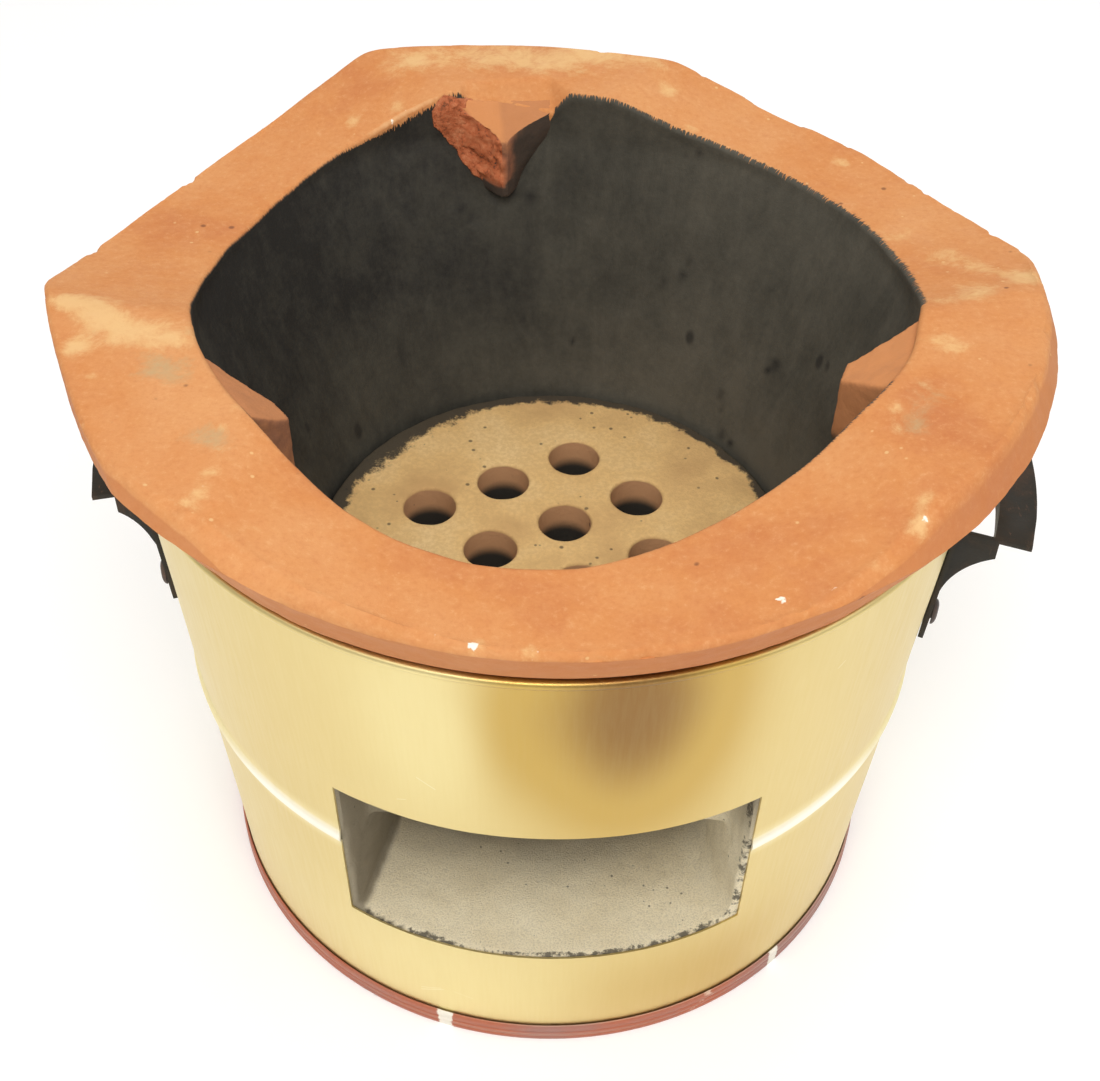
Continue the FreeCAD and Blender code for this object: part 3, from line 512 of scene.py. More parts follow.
@dataclass(frozen=True)
class HandlePaint(Finish):
    """Black paint on sheet iron, worn to brown and bare metal along the folds."""

    title: str = "handle_paint"
    black: Colour = (0.020, 0.016, 0.009)
    brown: Colour = (0.055, 0.034, 0.020)
    rust: Colour = (0.11, 0.055, 0.028)
    bare: Colour = (0.42, 0.39, 0.35)

    def lay_out(self, shader: Shader) -> None:
        """Lay the rust and the bare folds over the paint."""
        cloud = shader.noise(65, 5, 0.65)
        streak = shader.noise(1.0, 4, 0.7, shader.stretched(700, 260, 60))
        colour = shader.lay(self.black, self.brown, cloud, 0.45, 0.68)
        colour = shader.lay(colour, self.rust, streak, 0.58, 0.72, 0.0, 0.7)
        rub = shader.add(shader.attribute("fold"), shader.noise(260, 5, 0.75))
        shader.set(
            Base_Color=shader.lay(colour, self.bare, rub, 1.0, 1.4, 0.0, 0.85),
            Roughness=shader.dull(cloud, 0.40, 0.62),
            Specular_IOR_Level=0.3,
            Normal=shader.bump(shader.noise(480, 4, 0.7), 0.18, 0.6),
        )


RIVET_PAINT = HandlePaint("rivet_paint", black=(0.06, 0.045, 0.035), brown=(0.14, 0.08, 0.05))


@dataclass(frozen=True)
class PackedAsh(Finish):
    """Loose grey ash packed round the clay body."""

    title: str = "packed_ash"
    grey: Colour = (0.33, 0.31, 0.28)
    dark: Colour = (0.12, 0.11, 0.10)

    def lay_out(self, shader: Shader) -> None:
        """Mix the two greys by the grit."""
        grit = shader.noise(500, 5, 0.75)
        shader.grainy(shader.lay(self.dark, self.grey, grit, 0.35, 0.65), grit, (0.88, 0.98), (1.0, 0.8))


@dataclass(frozen=True)
class PaleFloor(Finish):
    """Near-white studio floor with a faint tooth."""

    title: str = "pale_floor"
    white: Colour = (0.97, 0.968, 0.965)
    shade: Colour = (0.94, 0.938, 0.935)

    def lay_out(self, shader: Shader) -> None:
        """Mix the two whites and lift them with a faint glow."""
        shader.set(Base_Color=shader.mix(shader.noise(3.0), self.white, self.shade), Roughness=0.85,
                   Specular_IOR_Level=0.1, Emission_Color=self.white, Emission_Strength=0.1)


def lump(point: Vector, size: float, seed: float, layers: int = 4) -> float:
    """Smooth value of about -1 to 1 at a point, for lumps of a size, shifted by a seed."""
    return noise.fractal(point / size + Vector((seed, 1.7 * seed, 0.3 * seed)), 0.9, 2.0, layers)


def bell(value: float, middle: float, width: float) -> float:
    """Bell curve of height 1."""
    return math.exp(-((value - middle) / width) ** 2)


def turn_between(first: float, second: float) -> float:
    """Smallest turn from one way to another."""
    return (first - second + 180.0) % 360.0 - 180.0


def towards(way: float, middle: float, width: float) -> float:
    """Bell curve of a way about a middle one."""
    return bell(turn_between(way, middle), 0.0, width)


def lerp(first: float, second: float, share: float) -> float:
    """Value a share of the way from first to second."""
    return first + (second - first) * share


def rise(value: float, low: float, high: float) -> float:
    """Share of the stretch from low to high that a value has come, held at 0 and 1."""
    return min(1.0, max(0.0, (value - low) / (high - low)))


def swells(way: float, table: Iterable[Triple]) -> float:
    """Sum of bell curves of a way, each given as middle, width and height."""
    return sum(height * towards(way, middle, width) for middle, width, height in table)


def spotted(way: float, radius: float, level: float, spots: Iterable[Sequence[float]],
            flat: float = 1.0) -> float:
    """Sum of round spots on a surface round the axis.

    Args:
        way: Way of the point.
        radius: Radius of the surface there.
        level: Height of the point, or its radius on a top.
        spots: Way, level and size of each spot, and its strength if that isn't 1.
        flat: Height of a spot as a share of its width.

    Returns:
        The spots' value at the point.
    """
    total = 0.0
    for middle, place, size, *strength in spots:
        across = math.radians(turn_between(way, middle)) * radius
        total += math.prod(strength) * math.exp(-(across ** 2 + ((level - place) / flat) ** 2) / size ** 2)
    return total


def polar(radius: float, way: float, height: float) -> Vector:
    """Point at a radius, in a way, at a height."""
    return Vector((radius * math.cos(math.radians(way)), radius * math.sin(math.radians(way)), height))


def way_of(point: Vector) -> float:
    """Way from the axis to a point."""
    return math.degrees(math.atan2(point.y, point.x))


def softened(first: float, second: float, blend: float) -> float:
    """Lower of two heights, with the ridge between them rounded off."""
    low, gap = min(first, second), abs(first - second)
    return low - blend * math.log1p(math.exp(-gap / blend))


def ray(way: float, centre: Pair, radius: float) -> float:
    """Distance from the axis, in a way, to a circle about another centre."""
    along = centre[0] * math.cos(math.radians(way)) + centre[1] * math.sin(math.radians(way))
    return along + math.sqrt(radius ** 2 - centre[0] ** 2 - centre[1] ** 2 + along ** 2)


def wrapped(mesh: Shape, rows: int, columns: int) -> list[tuple[Point, int, float]]:
    """Start a round piece from a flat grid, to be wrapped once round the axis.

    Args:
        mesh: Mesh that the grid is added to, with its layers already made.
        rows: Points up the grid.
        columns: Steps round the axis.

    Returns:
        Each vertex with its row and its way.
    """
    made = bmesh.ops.create_grid(mesh, x_segments=columns, y_segments=rows - 1, size=1.0)["verts"]
    turn = 360.0 / columns
    return [
        (vert, round((vert.co.y + 1) / 2 * (rows - 1)), round((vert.co.x + 1) / 2 * columns) * turn)
        for vert in made
    ]


def spin(mesh: Shape, geometry: list, columns: int) -> None:
    """Spin points and edges once round the axis."""
    bmesh.ops.spin(mesh, geom=geometry, cent=(0, 0, 0), axis=(0, 0, 1), angle=math.tau, steps=columns,
                   use_merge=True)


def turned(mesh: Shape, profile: Sequence[Pair], columns: int) -> list[Point]:
    """Spin a profile of radius and height once round the axis.

    Args:
        mesh: Mesh that the shape is added to.
        profile: Points from one pole or end to the other.
        columns: Steps round the axis.

    Returns:
        The shape's vertices.
    """
    before = set(mesh.verts)
    points = [mesh.verts.new((radius, 0.0, height)) for radius, height in profile]
    spin(mesh, points + [mesh.edges.new(pair) for pair in zip(points, points[1:])], columns)
    fresh = [vert for vert in mesh.verts if vert not in before]
    bmesh.ops.remove_doubles(mesh, verts=fresh, dist=0.1 * MERGE)
    return [vert for vert in mesh.verts if vert not in before]


def folds(mesh: Shape, angle: float) -> list[bmesh.types.BMEdge]:
    """Edges whose two faces meet at more than an angle in radians."""
    return [edge for edge in mesh.edges if len(edge.link_faces) == 2 and edge.calc_face_angle() > angle]


def round_off(mesh: Shape, edges: list[bmesh.types.BMEdge], offset: float, clamp: bool) -> None:
    """Round edges of a mesh off, clamped where there is no room for it if that is asked for."""
    bmesh.ops.bevel(mesh, geom=edges, offset=offset, offset_type="OFFSET", segments=3, profile=0.5,
                    affect="EDGES", material=-1, clamp_overlap=clamp)


def smooth(mesh: Shape, factor: float) -> None:
    """Smooth a mesh once and renew its normals."""
    bmesh.ops.smooth_vert(mesh, verts=mesh.verts, factor=factor, use_axis_x=True, use_axis_y=True,
                          use_axis_z=True)
    mesh.normal_update()


def as_data(mesh: Shape, name: str) -> bpy.types.Mesh:
    """Mesh data of a shape, which is used up."""
    data = bpy.data.meshes.new(name)
    mesh.to_mesh(data)
    mesh.free()
    return data


def placed(data: bpy.types.ID, name: str) -> bpy.types.Object:
    """Object of some data, linked to the scene."""
    made = bpy.data.objects.new(name, data)
    bpy.context.scene.collection.objects.link(made)
    return made


def cad_copy(node: str) -> Shape:
    """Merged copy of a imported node's mesh, in millimetres."""
    mesh = bmesh.new()
    mesh.from_mesh(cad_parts[node].data)
    bmesh.ops.remove_doubles(mesh, verts=mesh.verts, dist=MERGE * MM)
    bmesh.ops.scale(mesh, vec=(1000.0,) * 3, verts=mesh.verts)
    return mesh


def remeshed(mesh: Shape, voxel: float) -> Shape:
    """Even quads of a size over a closed mesh, which is used up."""
    data = as_data(mesh, "remesh_start")
    holder = placed(data, "remesh_start")
    change = holder.modifiers.new("even", "REMESH")
    change.mode = "VOXEL"
    change.voxel_size = voxel
    even = bpy.data.meshes.new_from_object(holder.evaluated_get(bpy.context.evaluated_depsgraph_get()))
    result = bmesh.new()
    result.from_mesh(even)
    bpy.data.objects.remove(holder)
    bpy.data.meshes.remove(data)
    bpy.data.meshes.remove(even)
    return result


@dataclass
class Piece:
    """One piece of the stove: the nodes that it stands for, its slot, its sharp edges and its body."""

    name: str
    nodes: tuple[str, ...]
    slot: str
    crease: float = 50.0
    body: Body = Body.STOVE

    def marks(self, mesh: Shape, names: Iterable[str]) -> Layers:
        """Layers of a mesh for its marks, by name."""
        return {name: mesh.verts.layers.float.new(name) for name in names}

    def build(self) -> Shape:
        """Shape the piece in millimetres."""
        raise NotImplementedError

    def dress(self, finish: bpy.types.Material) -> bpy.types.Object:
        """Build the piece: in metres, with its finish, and riding on its body."""
        mesh = self.build()
        bmesh.ops.scale(mesh, vec=(MM,) * 3, verts=mesh.verts)
        data = as_data(mesh, self.name)
        data.polygons.foreach_set("use_smooth", [True] * len(data.polygons))
        data.set_sharp_from_angle(angle=math.radians(self.crease))
        data.materials.append(finish)
        piece = placed(data, self.name)
        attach(piece, self.body.value)
        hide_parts(*self.nodes)
        LOG.info("%s: %d faces", self.name, len(data.polygons))
        return piece


@dataclass
class FireBowl(Piece):
    """Fired clay body with its lobed rim, conical bowl, grate seat, ash chamber and air inlet.

    Spots are given as way, radius, size and strength, and on the wall as way, height and size.
    """

    name: str = "fire_bowl_clay"
    nodes: tuple[str, ...] = ("fire_bowl",)
    slot: str = "terracotta"
    columns: int = 640
    crests: Triple = (94.5, 210.5, 336.0)
    crest_half_angle: float = 23.2
    crest_radius: float = 144.5
    crest_z: float = 231.0
    saddle_drop: float = 15.5
    saddle_spread: float = 0.003
    saddle_middle: float = 117.0
    ridge: float = 0.7
    lip: Pair = (131.0, 197.5)
    flare_radius: float = 150.0
    bevel_slope: float = 0.4737
    bevel_centre: Pair = (-3.9, 4.6)
    bevel_least: float = 1.3
    bevel_swells: tuple[Triple, ...] = ((275, 32, 1.3), (245, 13, 4.2), (310, 9, 1.2), (35, 30, 0.7))
    bevel_drop: float = 0.85
    bevel_bulge: float = 0.35
    pared: tuple[tuple[Pair, float], ...] = (((-21.0, -59.0), 199.0), ((202.9, 91.2), 365.0))
    seat_radius: float = 80.0
    grate_top: float = 121.5
    mouth_radius: float = 106.5
    mouth_z: float = 214.0
    mouth_waves: tuple[tuple[int, float, float], ...] = (
        (1, 1.6, 164.8), (2, 1.1, 68.7), (3, 3.2, 14.8), (4, 0.4, 33.4), (5, 1.4, -27.0),
    )
    mouth_edge: float = 1.6
    mouth_waver: float = 0.7
    mouth_tuck: float = 0.25
    ramp_way: float = 99.5
    ramp_start: float = 114.5
    ramp_slope: float = 0.73
    ramp_half: float = 14.5
    ramp_bank: float = 1.4
    ramp_reach: float = 12.0
    ramp_ridge: float = 0.35
    inlet_half_angle: float = 44.0
    inlet_holes: tuple[Triple, ...] = ((97.0, 46.0, 132.0), (66.0, 46.0, 91.0))
    under: tuple[Pair, ...] = (
        (0.0, 28.0), (60.0, 28.0), (97.0, 28.0), (97.0, 46.0), (97.0, 89.0), (97.0, 132.0), (97.0, 148.0),
        (110.6, 159.0), (124.3, 170.0), (124.3, 183.0), (124.3, 195.6), (127.0, 196.3), (130.0, 196.9),
    )
    hearth: tuple[Pair, ...] = (
        (80.0, 110.0), (80.0, 99.2), (66.0, 99.2), (66.0, 91.0), (66.0, 68.0), (66.0, 46.0), (40.0, 46.0),
        (0.0, 46.0),
    )
    outward: float = -90.0
    inmost: float = 90.0
    face_rows: int = 12
    band_rows: int = 8
    bevel_rows: int = 5
    top_rows: int = 20
    turn_rows: int = 4
    wall_rows: int = 44
    face_wear: Pair = (0.45, 0.8)
    top_wear: Pair = (0.35, 0.55)
    wall_wear: float = 0.7
    chip_depth: float = 2.2
    nicks: tuple[Triple, ...] = ((57.5, 2.2, 2.6), (53.8, 1.2, 1.4))
    pale_spots: tuple[Spot, ...] = (
        (77, 134, 13, 0.5), (87, 134, 14, 0.55), (97, 134, 14, 0.5), (107, 135, 14, 0.5),
        (115, 137, 10, 0.4), (84.4, 134.7, 5, 0.3), (112, 137, 4, 0.3), (126, 121, 3.5, 0.5),
        (119, 116, 3, 0.5), (93, 122, 8, 0.3), (189.5, 140, 4.5, 0.6), (199.1, 138, 4.5, 0.75),
        (191, 134, 9, 0.5),
        (195, 127, 9, 0.55), (199, 119, 9, 0.55), (202, 111, 7, 0.5), (220, 108, 2.6, 0.5),
        (222.5, 114, 2.6, 0.4), (225.5, 120, 2.8, 0.4), (228, 127, 3, 0.45), (230, 133, 3.2, 0.55),
        (230.4, 138.5, 3.5, 0.6), (205, 135, 3, 0.3), (43, 130, 3, 0.5), (22, 114, 7, 0.4),
        (12, 122, 8, 0.45), (6.8, 127, 8, 0.5), (0.9, 138, 9, 0.65), (357, 121, 9, 0.5), (354, 109, 6, 0.4),
        (341.8, 113.6, 5.5, 0.55), (331, 112, 4, 0.35), (324.4, 109, 3, 0.5), (321, 113, 2.6, 0.4),
        (313, 133.5, 3.5, 0.6), (310, 138, 3.5, 0.7), (304, 139, 3, 0.45), (66, 106, 3.5, 0.5),
        (72, 119, 4, 0.45), (33, 111, 3, 0.3), (52, 131, 4, 0.3), (263, 138, 3, 0.4), (268, 139, 3, 0.4),
    )
    stain_spots: tuple[Spot, ...] = (
        (207.5, 116, 8, 0.8), (203, 122, 6, 0.4), (224, 119, 6, 0.55), (221, 122, 5, 0.35),
        (197, 131, 4, 0.3), (328, 114, 8, 0.5), (322.8, 117, 4.5, 0.6), (105, 123, 8, 0.25),
        (87, 122, 7, 0.2), (200, 108, 3, 0.4),
    )
    chalk_spots: tuple[Spot, ...] = (
        (262.5, 139, 1.8, 0.9), (259, 139, 1.6, 0.5), (268.5, 139, 2.2, 0.6), (294, 135, 2.0, 0.85),
        (299, 138.5, 1.6, 0.7), (291, 127, 1.0, 0.5), (229.4, 131, 1.3, 0.7), (231.5, 134, 1.2, 0.7),
        (226, 139, 1.6, 0.6), (222, 139, 1.4, 0.5), (115, 113, 1.1, 0.7), (118, 112.5, 1.1, 0.7),
        (121, 111.5, 1.3, 0.7), (124, 110.5, 1.2, 0.6), (101, 117, 1.0, 0.6), (92, 114, 1.2, 0.5),
        (340, 121, 0.9, 0.6), (329, 128, 0.9, 0.6), (322, 131, 0.9, 0.5), (311, 138, 1.6, 0.7),
        (308, 140, 1.6, 0.6), (338, 132, 0.8, 0.5), (112, 111, 1.0, 0.6), (206, 124, 0.8, 0.5),
        (214, 131, 0.9, 0.5),
    )
    worn_edge: Pair = (119, 9)
    ragged_edge: Pair = (119, 8)
    rough_edge: Pair = (30, 62)
    hair: Triple = (0.6, 7.0, 7.0)
    ramp_clean: float = 4.5
    root_clean: float = 6.0
    root_spans: tuple[Pair, ...] = ((208.5, 11.0), (341.5, 11.0))
    clean_edge: float = 1.5
    scar_radius: float = 106.0
    scar_depth: Pair = (2.0, 1.6)
    scar_spots: tuple[Triple, ...] = (
        (111.2, 226.0, 4.0), (111.2, 220.5, 4.4), (108.6, 215.0, 4.8), (106.4, 208.0, 4.8),
        (104.6, 203.0, 4.0), (108.0, 224.0, 4.4), (106.0, 217.5, 4.6),
    )
    # Darker spots on the coat inside the bowl, the biggest just under the back rest.
    dark_spots: tuple[Triple, ...] = (
        (33.6, 158.5, 2.6), (35.0, 155.0, 1.4), (45.4, 137.4, 1.5), (44.0, 133.0, 1.2), (41.5, 124.5, 1.6),
        (38.0, 123.5, 1.4), (102.3, 150.4, 1.0), (98.0, 150.0, 0.9), (110, 190.5, 1.6), (108, 188.0, 1.1),
        (136, 187.0, 1.2), (63, 216.0, 1.3), (61, 178.0, 1.3), (62, 172.0, 1.5), (127, 196.0, 1.8),
        (140, 180.0, 1.2), (86, 141.0, 0.8), (66, 168.0, 1.6), (100, 195.0, 3.0), (96, 193.0, 2.5),
    )
    dark_spot_flat: float = 0.8

    @property
    def crown(self) -> int:
        """Number of the first row of the rim's bevel."""
        return len(self.under) + self.face_rows + self.band_rows

    def ramp_top(self, along: float) -> float:
        """Height of the ramp over the back crest, at a distance along it from the axis."""
        return self.crest_z + self.ramp_slope * (along - self.ramp_start)

    def scooped(self, radius: float, way: float) -> float:
        """Height of the rim's top at a radius and a way, with its saddles and the ramp at the back."""
        height = self.crest_z
        for first, second in zip(self.crests, self.crests[1:] + (self.crests[0] + 360.0,)):
            swing = math.radians(way - (first + second) / 2)
            if math.cos(swing) <= 0.0:
                continue
            half = self.crest_radius * math.sin(math.radians((second - first) / 2 - self.crest_half_angle))
            half *= 1.0 + self.saddle_spread * (radius * math.cos(swing) - self.saddle_middle)
            scoop = (half ** 2 + self.saddle_drop ** 2) / (2 * self.saddle_drop)
            off = abs(radius * math.sin(swing))
            if off < 0.9 * scoop:
                cut = self.crest_z - self.saddle_drop + scoop - math.sqrt(scoop ** 2 - off ** 2)
                height = softened(height, cut, self.ridge)
        swing = math.radians(way - self.ramp_way)
        side = abs(radius * math.sin(swing)) - self.ramp_half
        if math.cos(swing) > 0.0 and side < self.ramp_reach:
            cut = self.ramp_top(radius * math.cos(swing)) + max(0.0, self.ramp_bank * side)
            height = softened(height, cut, self.ramp_ridge)
        return height

    def plain_wall(self, height: float) -> float:
        """Radius of the bowl's wall at a height, without its waves."""
        share = min(1.0, (height - self.grate_top) / (self.mouth_z - self.grate_top))
        return lerp(self.seat_radius, self.mouth_radius, share)

    def wall(self, height: float, way: float) -> float:
        """Radius of the bowl's wall at a height and a way, uneven towards the mouth."""
        waves = sum(
            size * math.cos(order * math.radians(way - turn)) for order, size, turn in self.mouth_waves
        )
        return self.plain_wall(height) + waves * rise(height, self.grate_top, self.mouth_z) ** 2

    def flare(self, height: float) -> float:
        """Radius of the rim's flaring outer face at a height."""
        return lerp(self.lip[0], self.flare_radius, (height - self.lip[1]) / (self.crest_z - self.lip[1]))

    def shaved(self, height: float, way: float) -> float:
        """Radius to which the rim's outer face is bevelled and pared, at a height and a way."""
        cone = self.crest_radius + self.bevel_slope * (self.crest_z - height)
        cuts = ((self.bevel_centre, cone), *self.pared)
        return min(ray(way, centre, radius) for centre, radius in cuts)

    def outside(self, height: float, way: float) -> float:
        """Radius of the rim's outer face at a height and a way."""
        return min(self.flare(height), self.shaved(height, way))

    def rising(self, test: Callable[[float], bool]) -> float:
        """Height on the outer face up to which a test holds."""
        low, high = self.lip[1], self.crest_z
        for _ in range(30):
            middle = (low + high) / 2
            if test(middle):
                low = middle
            else:
                high = middle
        return low

    def bevel(self, way: float) -> float:
        """Width of the worn bevel on the rim's outer edge."""
        return self.bevel_least + swells(way, self.bevel_swells)

    def column(self, way: float) -> list[Triple]:
        """Points of the whole profile in one way.

        Args:
            way: Way from the axis.

        Returns:
            Radius, height and signed distance from the bowl's inner edge for each row.
        """
        points = [(radius, height, self.outward) for radius, height in self.under]
        end = self.rising(lambda height: height < self.scooped(self.outside(height, way), way))
        cut = (self.outside(end, way), end)
        bevel = self.bevel(way)
        start = end - self.bevel_drop * bevel
        kink = min(start - 1.0, self.rising(lambda height: self.flare(height) < self.shaved(height, way)))
        levels = [lerp(self.lip[1], kink, row / self.face_rows) for row in range(self.face_rows)]
        levels += [lerp(kink, start, row / self.band_rows) for row in range(self.band_rows)]
        points.extend((self.outside(height, way), height, self.outward) for height in levels)
        low = (self.outside(start, way), start)
        high = (cut[0] - bevel, self.scooped(cut[0] - bevel, way))
        bulge = [lerp((a + b) / 2, c, self.bevel_bulge) for a, b, c in zip(low, high, cut)]
        for row in range(self.bevel_rows):
            share = row / (self.bevel_rows - 1)
            radius, height = (
                (1 - share) ** 2 * a + 2 * share * (1 - share) * b + share ** 2 * c
                for a, b, c in zip(low, bulge, high)
            )
            points.append((radius, height, self.outward))
        rim = self.mouth_radius
        for _ in range(6):
            rim = self.wall(self.scooped(rim, way), way)
        rim += self.mouth_waver * noise.noise(polar(6.0, way, 3.0))
        soft = self.mouth_edge
        first = rim + soft
        for row in range(1, self.top_rows + 1):
            radius = lerp(high[0], first, row / self.top_rows)
            points.append((radius, self.scooped(radius, way), rim - radius))
        level = self.scooped(first, way)
        for row in range(1, self.turn_rows + 1):
            share = row / self.turn_rows
            swing = math.pi / 2 * share
            radius = first - soft * math.sin(swing) - self.mouth_tuck * share
            points.append((radius, level - soft * (1 - math.cos(swing)), soft * (share - 0.5)))
        base = level - soft
        rim_gap = rim - self.wall(base, way)
        for row in range(1, self.wall_rows + 1):
            share = row / self.wall_rows
            height = lerp(base, self.grate_top, share)
            radius = self.wall(height, way) + rim_gap * (1 - share) ** 4
            points.append((radius, height, base - height + soft / 2))
        points.extend((radius, height, self.inmost) for radius, height in self.hearth)
        return points

    def worn(self, place: Vector, way: float, row: int) -> Vector:
        """Hand-made unevenness and chips of the rim, moved in from the exact shape.

        Args:
            place: Point on the exact shape.
            way: Way from the axis.
            row: Number of its row.

        Returns:
            The moved point.
        """
        wall = self.crown + self.bevel_rows + self.top_rows + self.turn_rows
        if not len(self.under) <= row < wall + self.wall_rows - 1:
            return place
        out = Vector((place.x, place.y, 0.0)).normalized()
        swell = 0.5 * lump(place, 26.0, 3.1) + 0.22 * lump(place, 7.0, 9.2)
        if row < self.crown + self.bevel_rows:
            place = place - out * (self.face_wear[0] + self.face_wear[1] * swell)
            chips = max(0.0, lump(place, 9.0, 21.0) - 0.25) * self.chip_depth
            near = bell(row, self.crown + 2, 3.5)
            return place - (out + Vector((0, 0, 0.6))) * near * (chips + swells(way, self.nicks))
        if row < wall:
            return place - Vector((0, 0, self.top_wear[0] + self.top_wear[1] * swell))
        gouge = self.scar_depth[0] + self.scar_depth[1] * lump(place, 5.0, 12.0)
        return place + out * (self.wall_wear * swell) - out * self.scar(way, place.z) * gouge

    def scar(self, way: float, height: float) -> float:
        """How much of the wall beside the back rest is broken clay, at a way and a height."""
        return min(1.0, spotted(way, self.scar_radius, height, self.scar_spots))

    def build(self) -> Shape:
        """Wrap the profile round by columns, wear it, mark it and open the air inlet."""
        mesh = bmesh.new()
        layers = self.marks(mesh, ("face", "pale", "stain", "wear", "chalk", "coat", "hair", "soot_and_shade", "scar"))
        around = mesh.verts.layers.float_vector.new("around")
        profiles = [self.column(360.0 * column / self.columns) for column in range(self.columns)]
        for vert, row, way in wrapped(mesh, len(profiles[0]), self.columns):
            radius, height, inward = profiles[round(way * self.columns / 360.0) % self.columns][row]
            vert.co = self.worn(polar(radius, way, height), way, row)
            vert[around] = polar(0.1, way, height * MM * 0.12)
            self.mark(vert, layers, row, way, radius, height, inward)
        bmesh.ops.remove_doubles(mesh, verts=mesh.verts, dist=MERGE)
        self.open_inlet(mesh)
        bmesh.ops.recalc_face_normals(mesh, faces=mesh.faces)
        return mesh

    def mark(self, vert: Point, layers: Layers, row: int, way: float, radius: float, height: float,
             inward: float) -> None:
        """Write the marks of one point.

        Args:
            vert: The point.
            layers: Layers by name.
            row: Number of its row.
            way: Way from the axis.
            radius: Distance from the axis.
            height: Height above the floor.
            inward: Signed distance from the bowl's inner edge, positive down the wall.
        """
        # The face mark is the rim's outer face, which the finish darkens as painted shade.
        vert[layers["face"]] = 1.0 if row < self.crown - 1 else 0.0
        if row >= self.crown and inward < 3.0:
            tables = {"pale": self.pale_spots, "stain": self.stain_spots, "chalk": self.chalk_spots}
            for name, spots in tables.items():
                vert[layers[name]] = spotted(way, radius, radius, spots)
        inner = bell(inward, 0.0, 1.1) * (0.35 + 0.5 * towards(way, *self.worn_edge))
        vert[layers["wear"]] = max(0.5 * bell(row, self.crown + 2, 1.8), inner)
        side = abs(radius * math.sin(math.radians(way - self.ramp_way))) - self.ramp_half
        at_back = abs(turn_between(way, self.ramp_way)) < 40.0
        clean = self.ramp_clean * rise(-side, 0.0, self.clean_edge) if at_back else 0.0
        for middle, span in self.root_spans:
            clean += self.root_clean * rise(span - abs(turn_between(way, middle)), 0.0, self.clean_edge)
        rough = 0.0 if clean else towards(way, *self.rough_edge)
        ragged = towards(way, *self.ragged_edge)
        lowered = 2.6 * ragged - 1.3 * rough + 0.2 + clean
        vert[layers["coat"]] = inward - lowered if inward > -20.0 else -50.0
        vert[layers["hair"]] = self.hair[0] + self.hair[1] * rough + self.hair[2] * ragged
        vert[layers["scar"]] = self.scar(way, height) if -1.0 < inward < 60.0 else 0.0
        # Darker spots on the coat, the biggest just under the back rest.
        if inward > 2.0:
            vert[layers["soot_and_shade"]] = min(1.0, spotted(way, radius, height, self.dark_spots, self.dark_spot_flat))

    def open_inlet(self, mesh: Shape) -> None:
        """Open the air inlet through the clay, from the outer wall to the ash chamber."""
        def within(vert: Point, radius: float, low: float, high: float) -> bool:
            """Whether a point is in front, on a round wall, between two heights."""
            return (abs(turn_between(way_of(vert.co), FRONT)) <= self.inlet_half_angle
                    and abs(vert.co.xy.length - radius) < 0.5 and low - 0.1 <= vert.co.z <= high + 0.1)

        cut = [
            face for face in mesh.faces
            if any(all(within(vert, *hole) for vert in face.verts) for hole in self.inlet_holes)
        ]
        bmesh.ops.delete(mesh, geom=cut, context="FACES")
        bmesh.ops.bridge_loops(mesh, edges=[edge for edge in mesh.edges if edge.is_boundary])


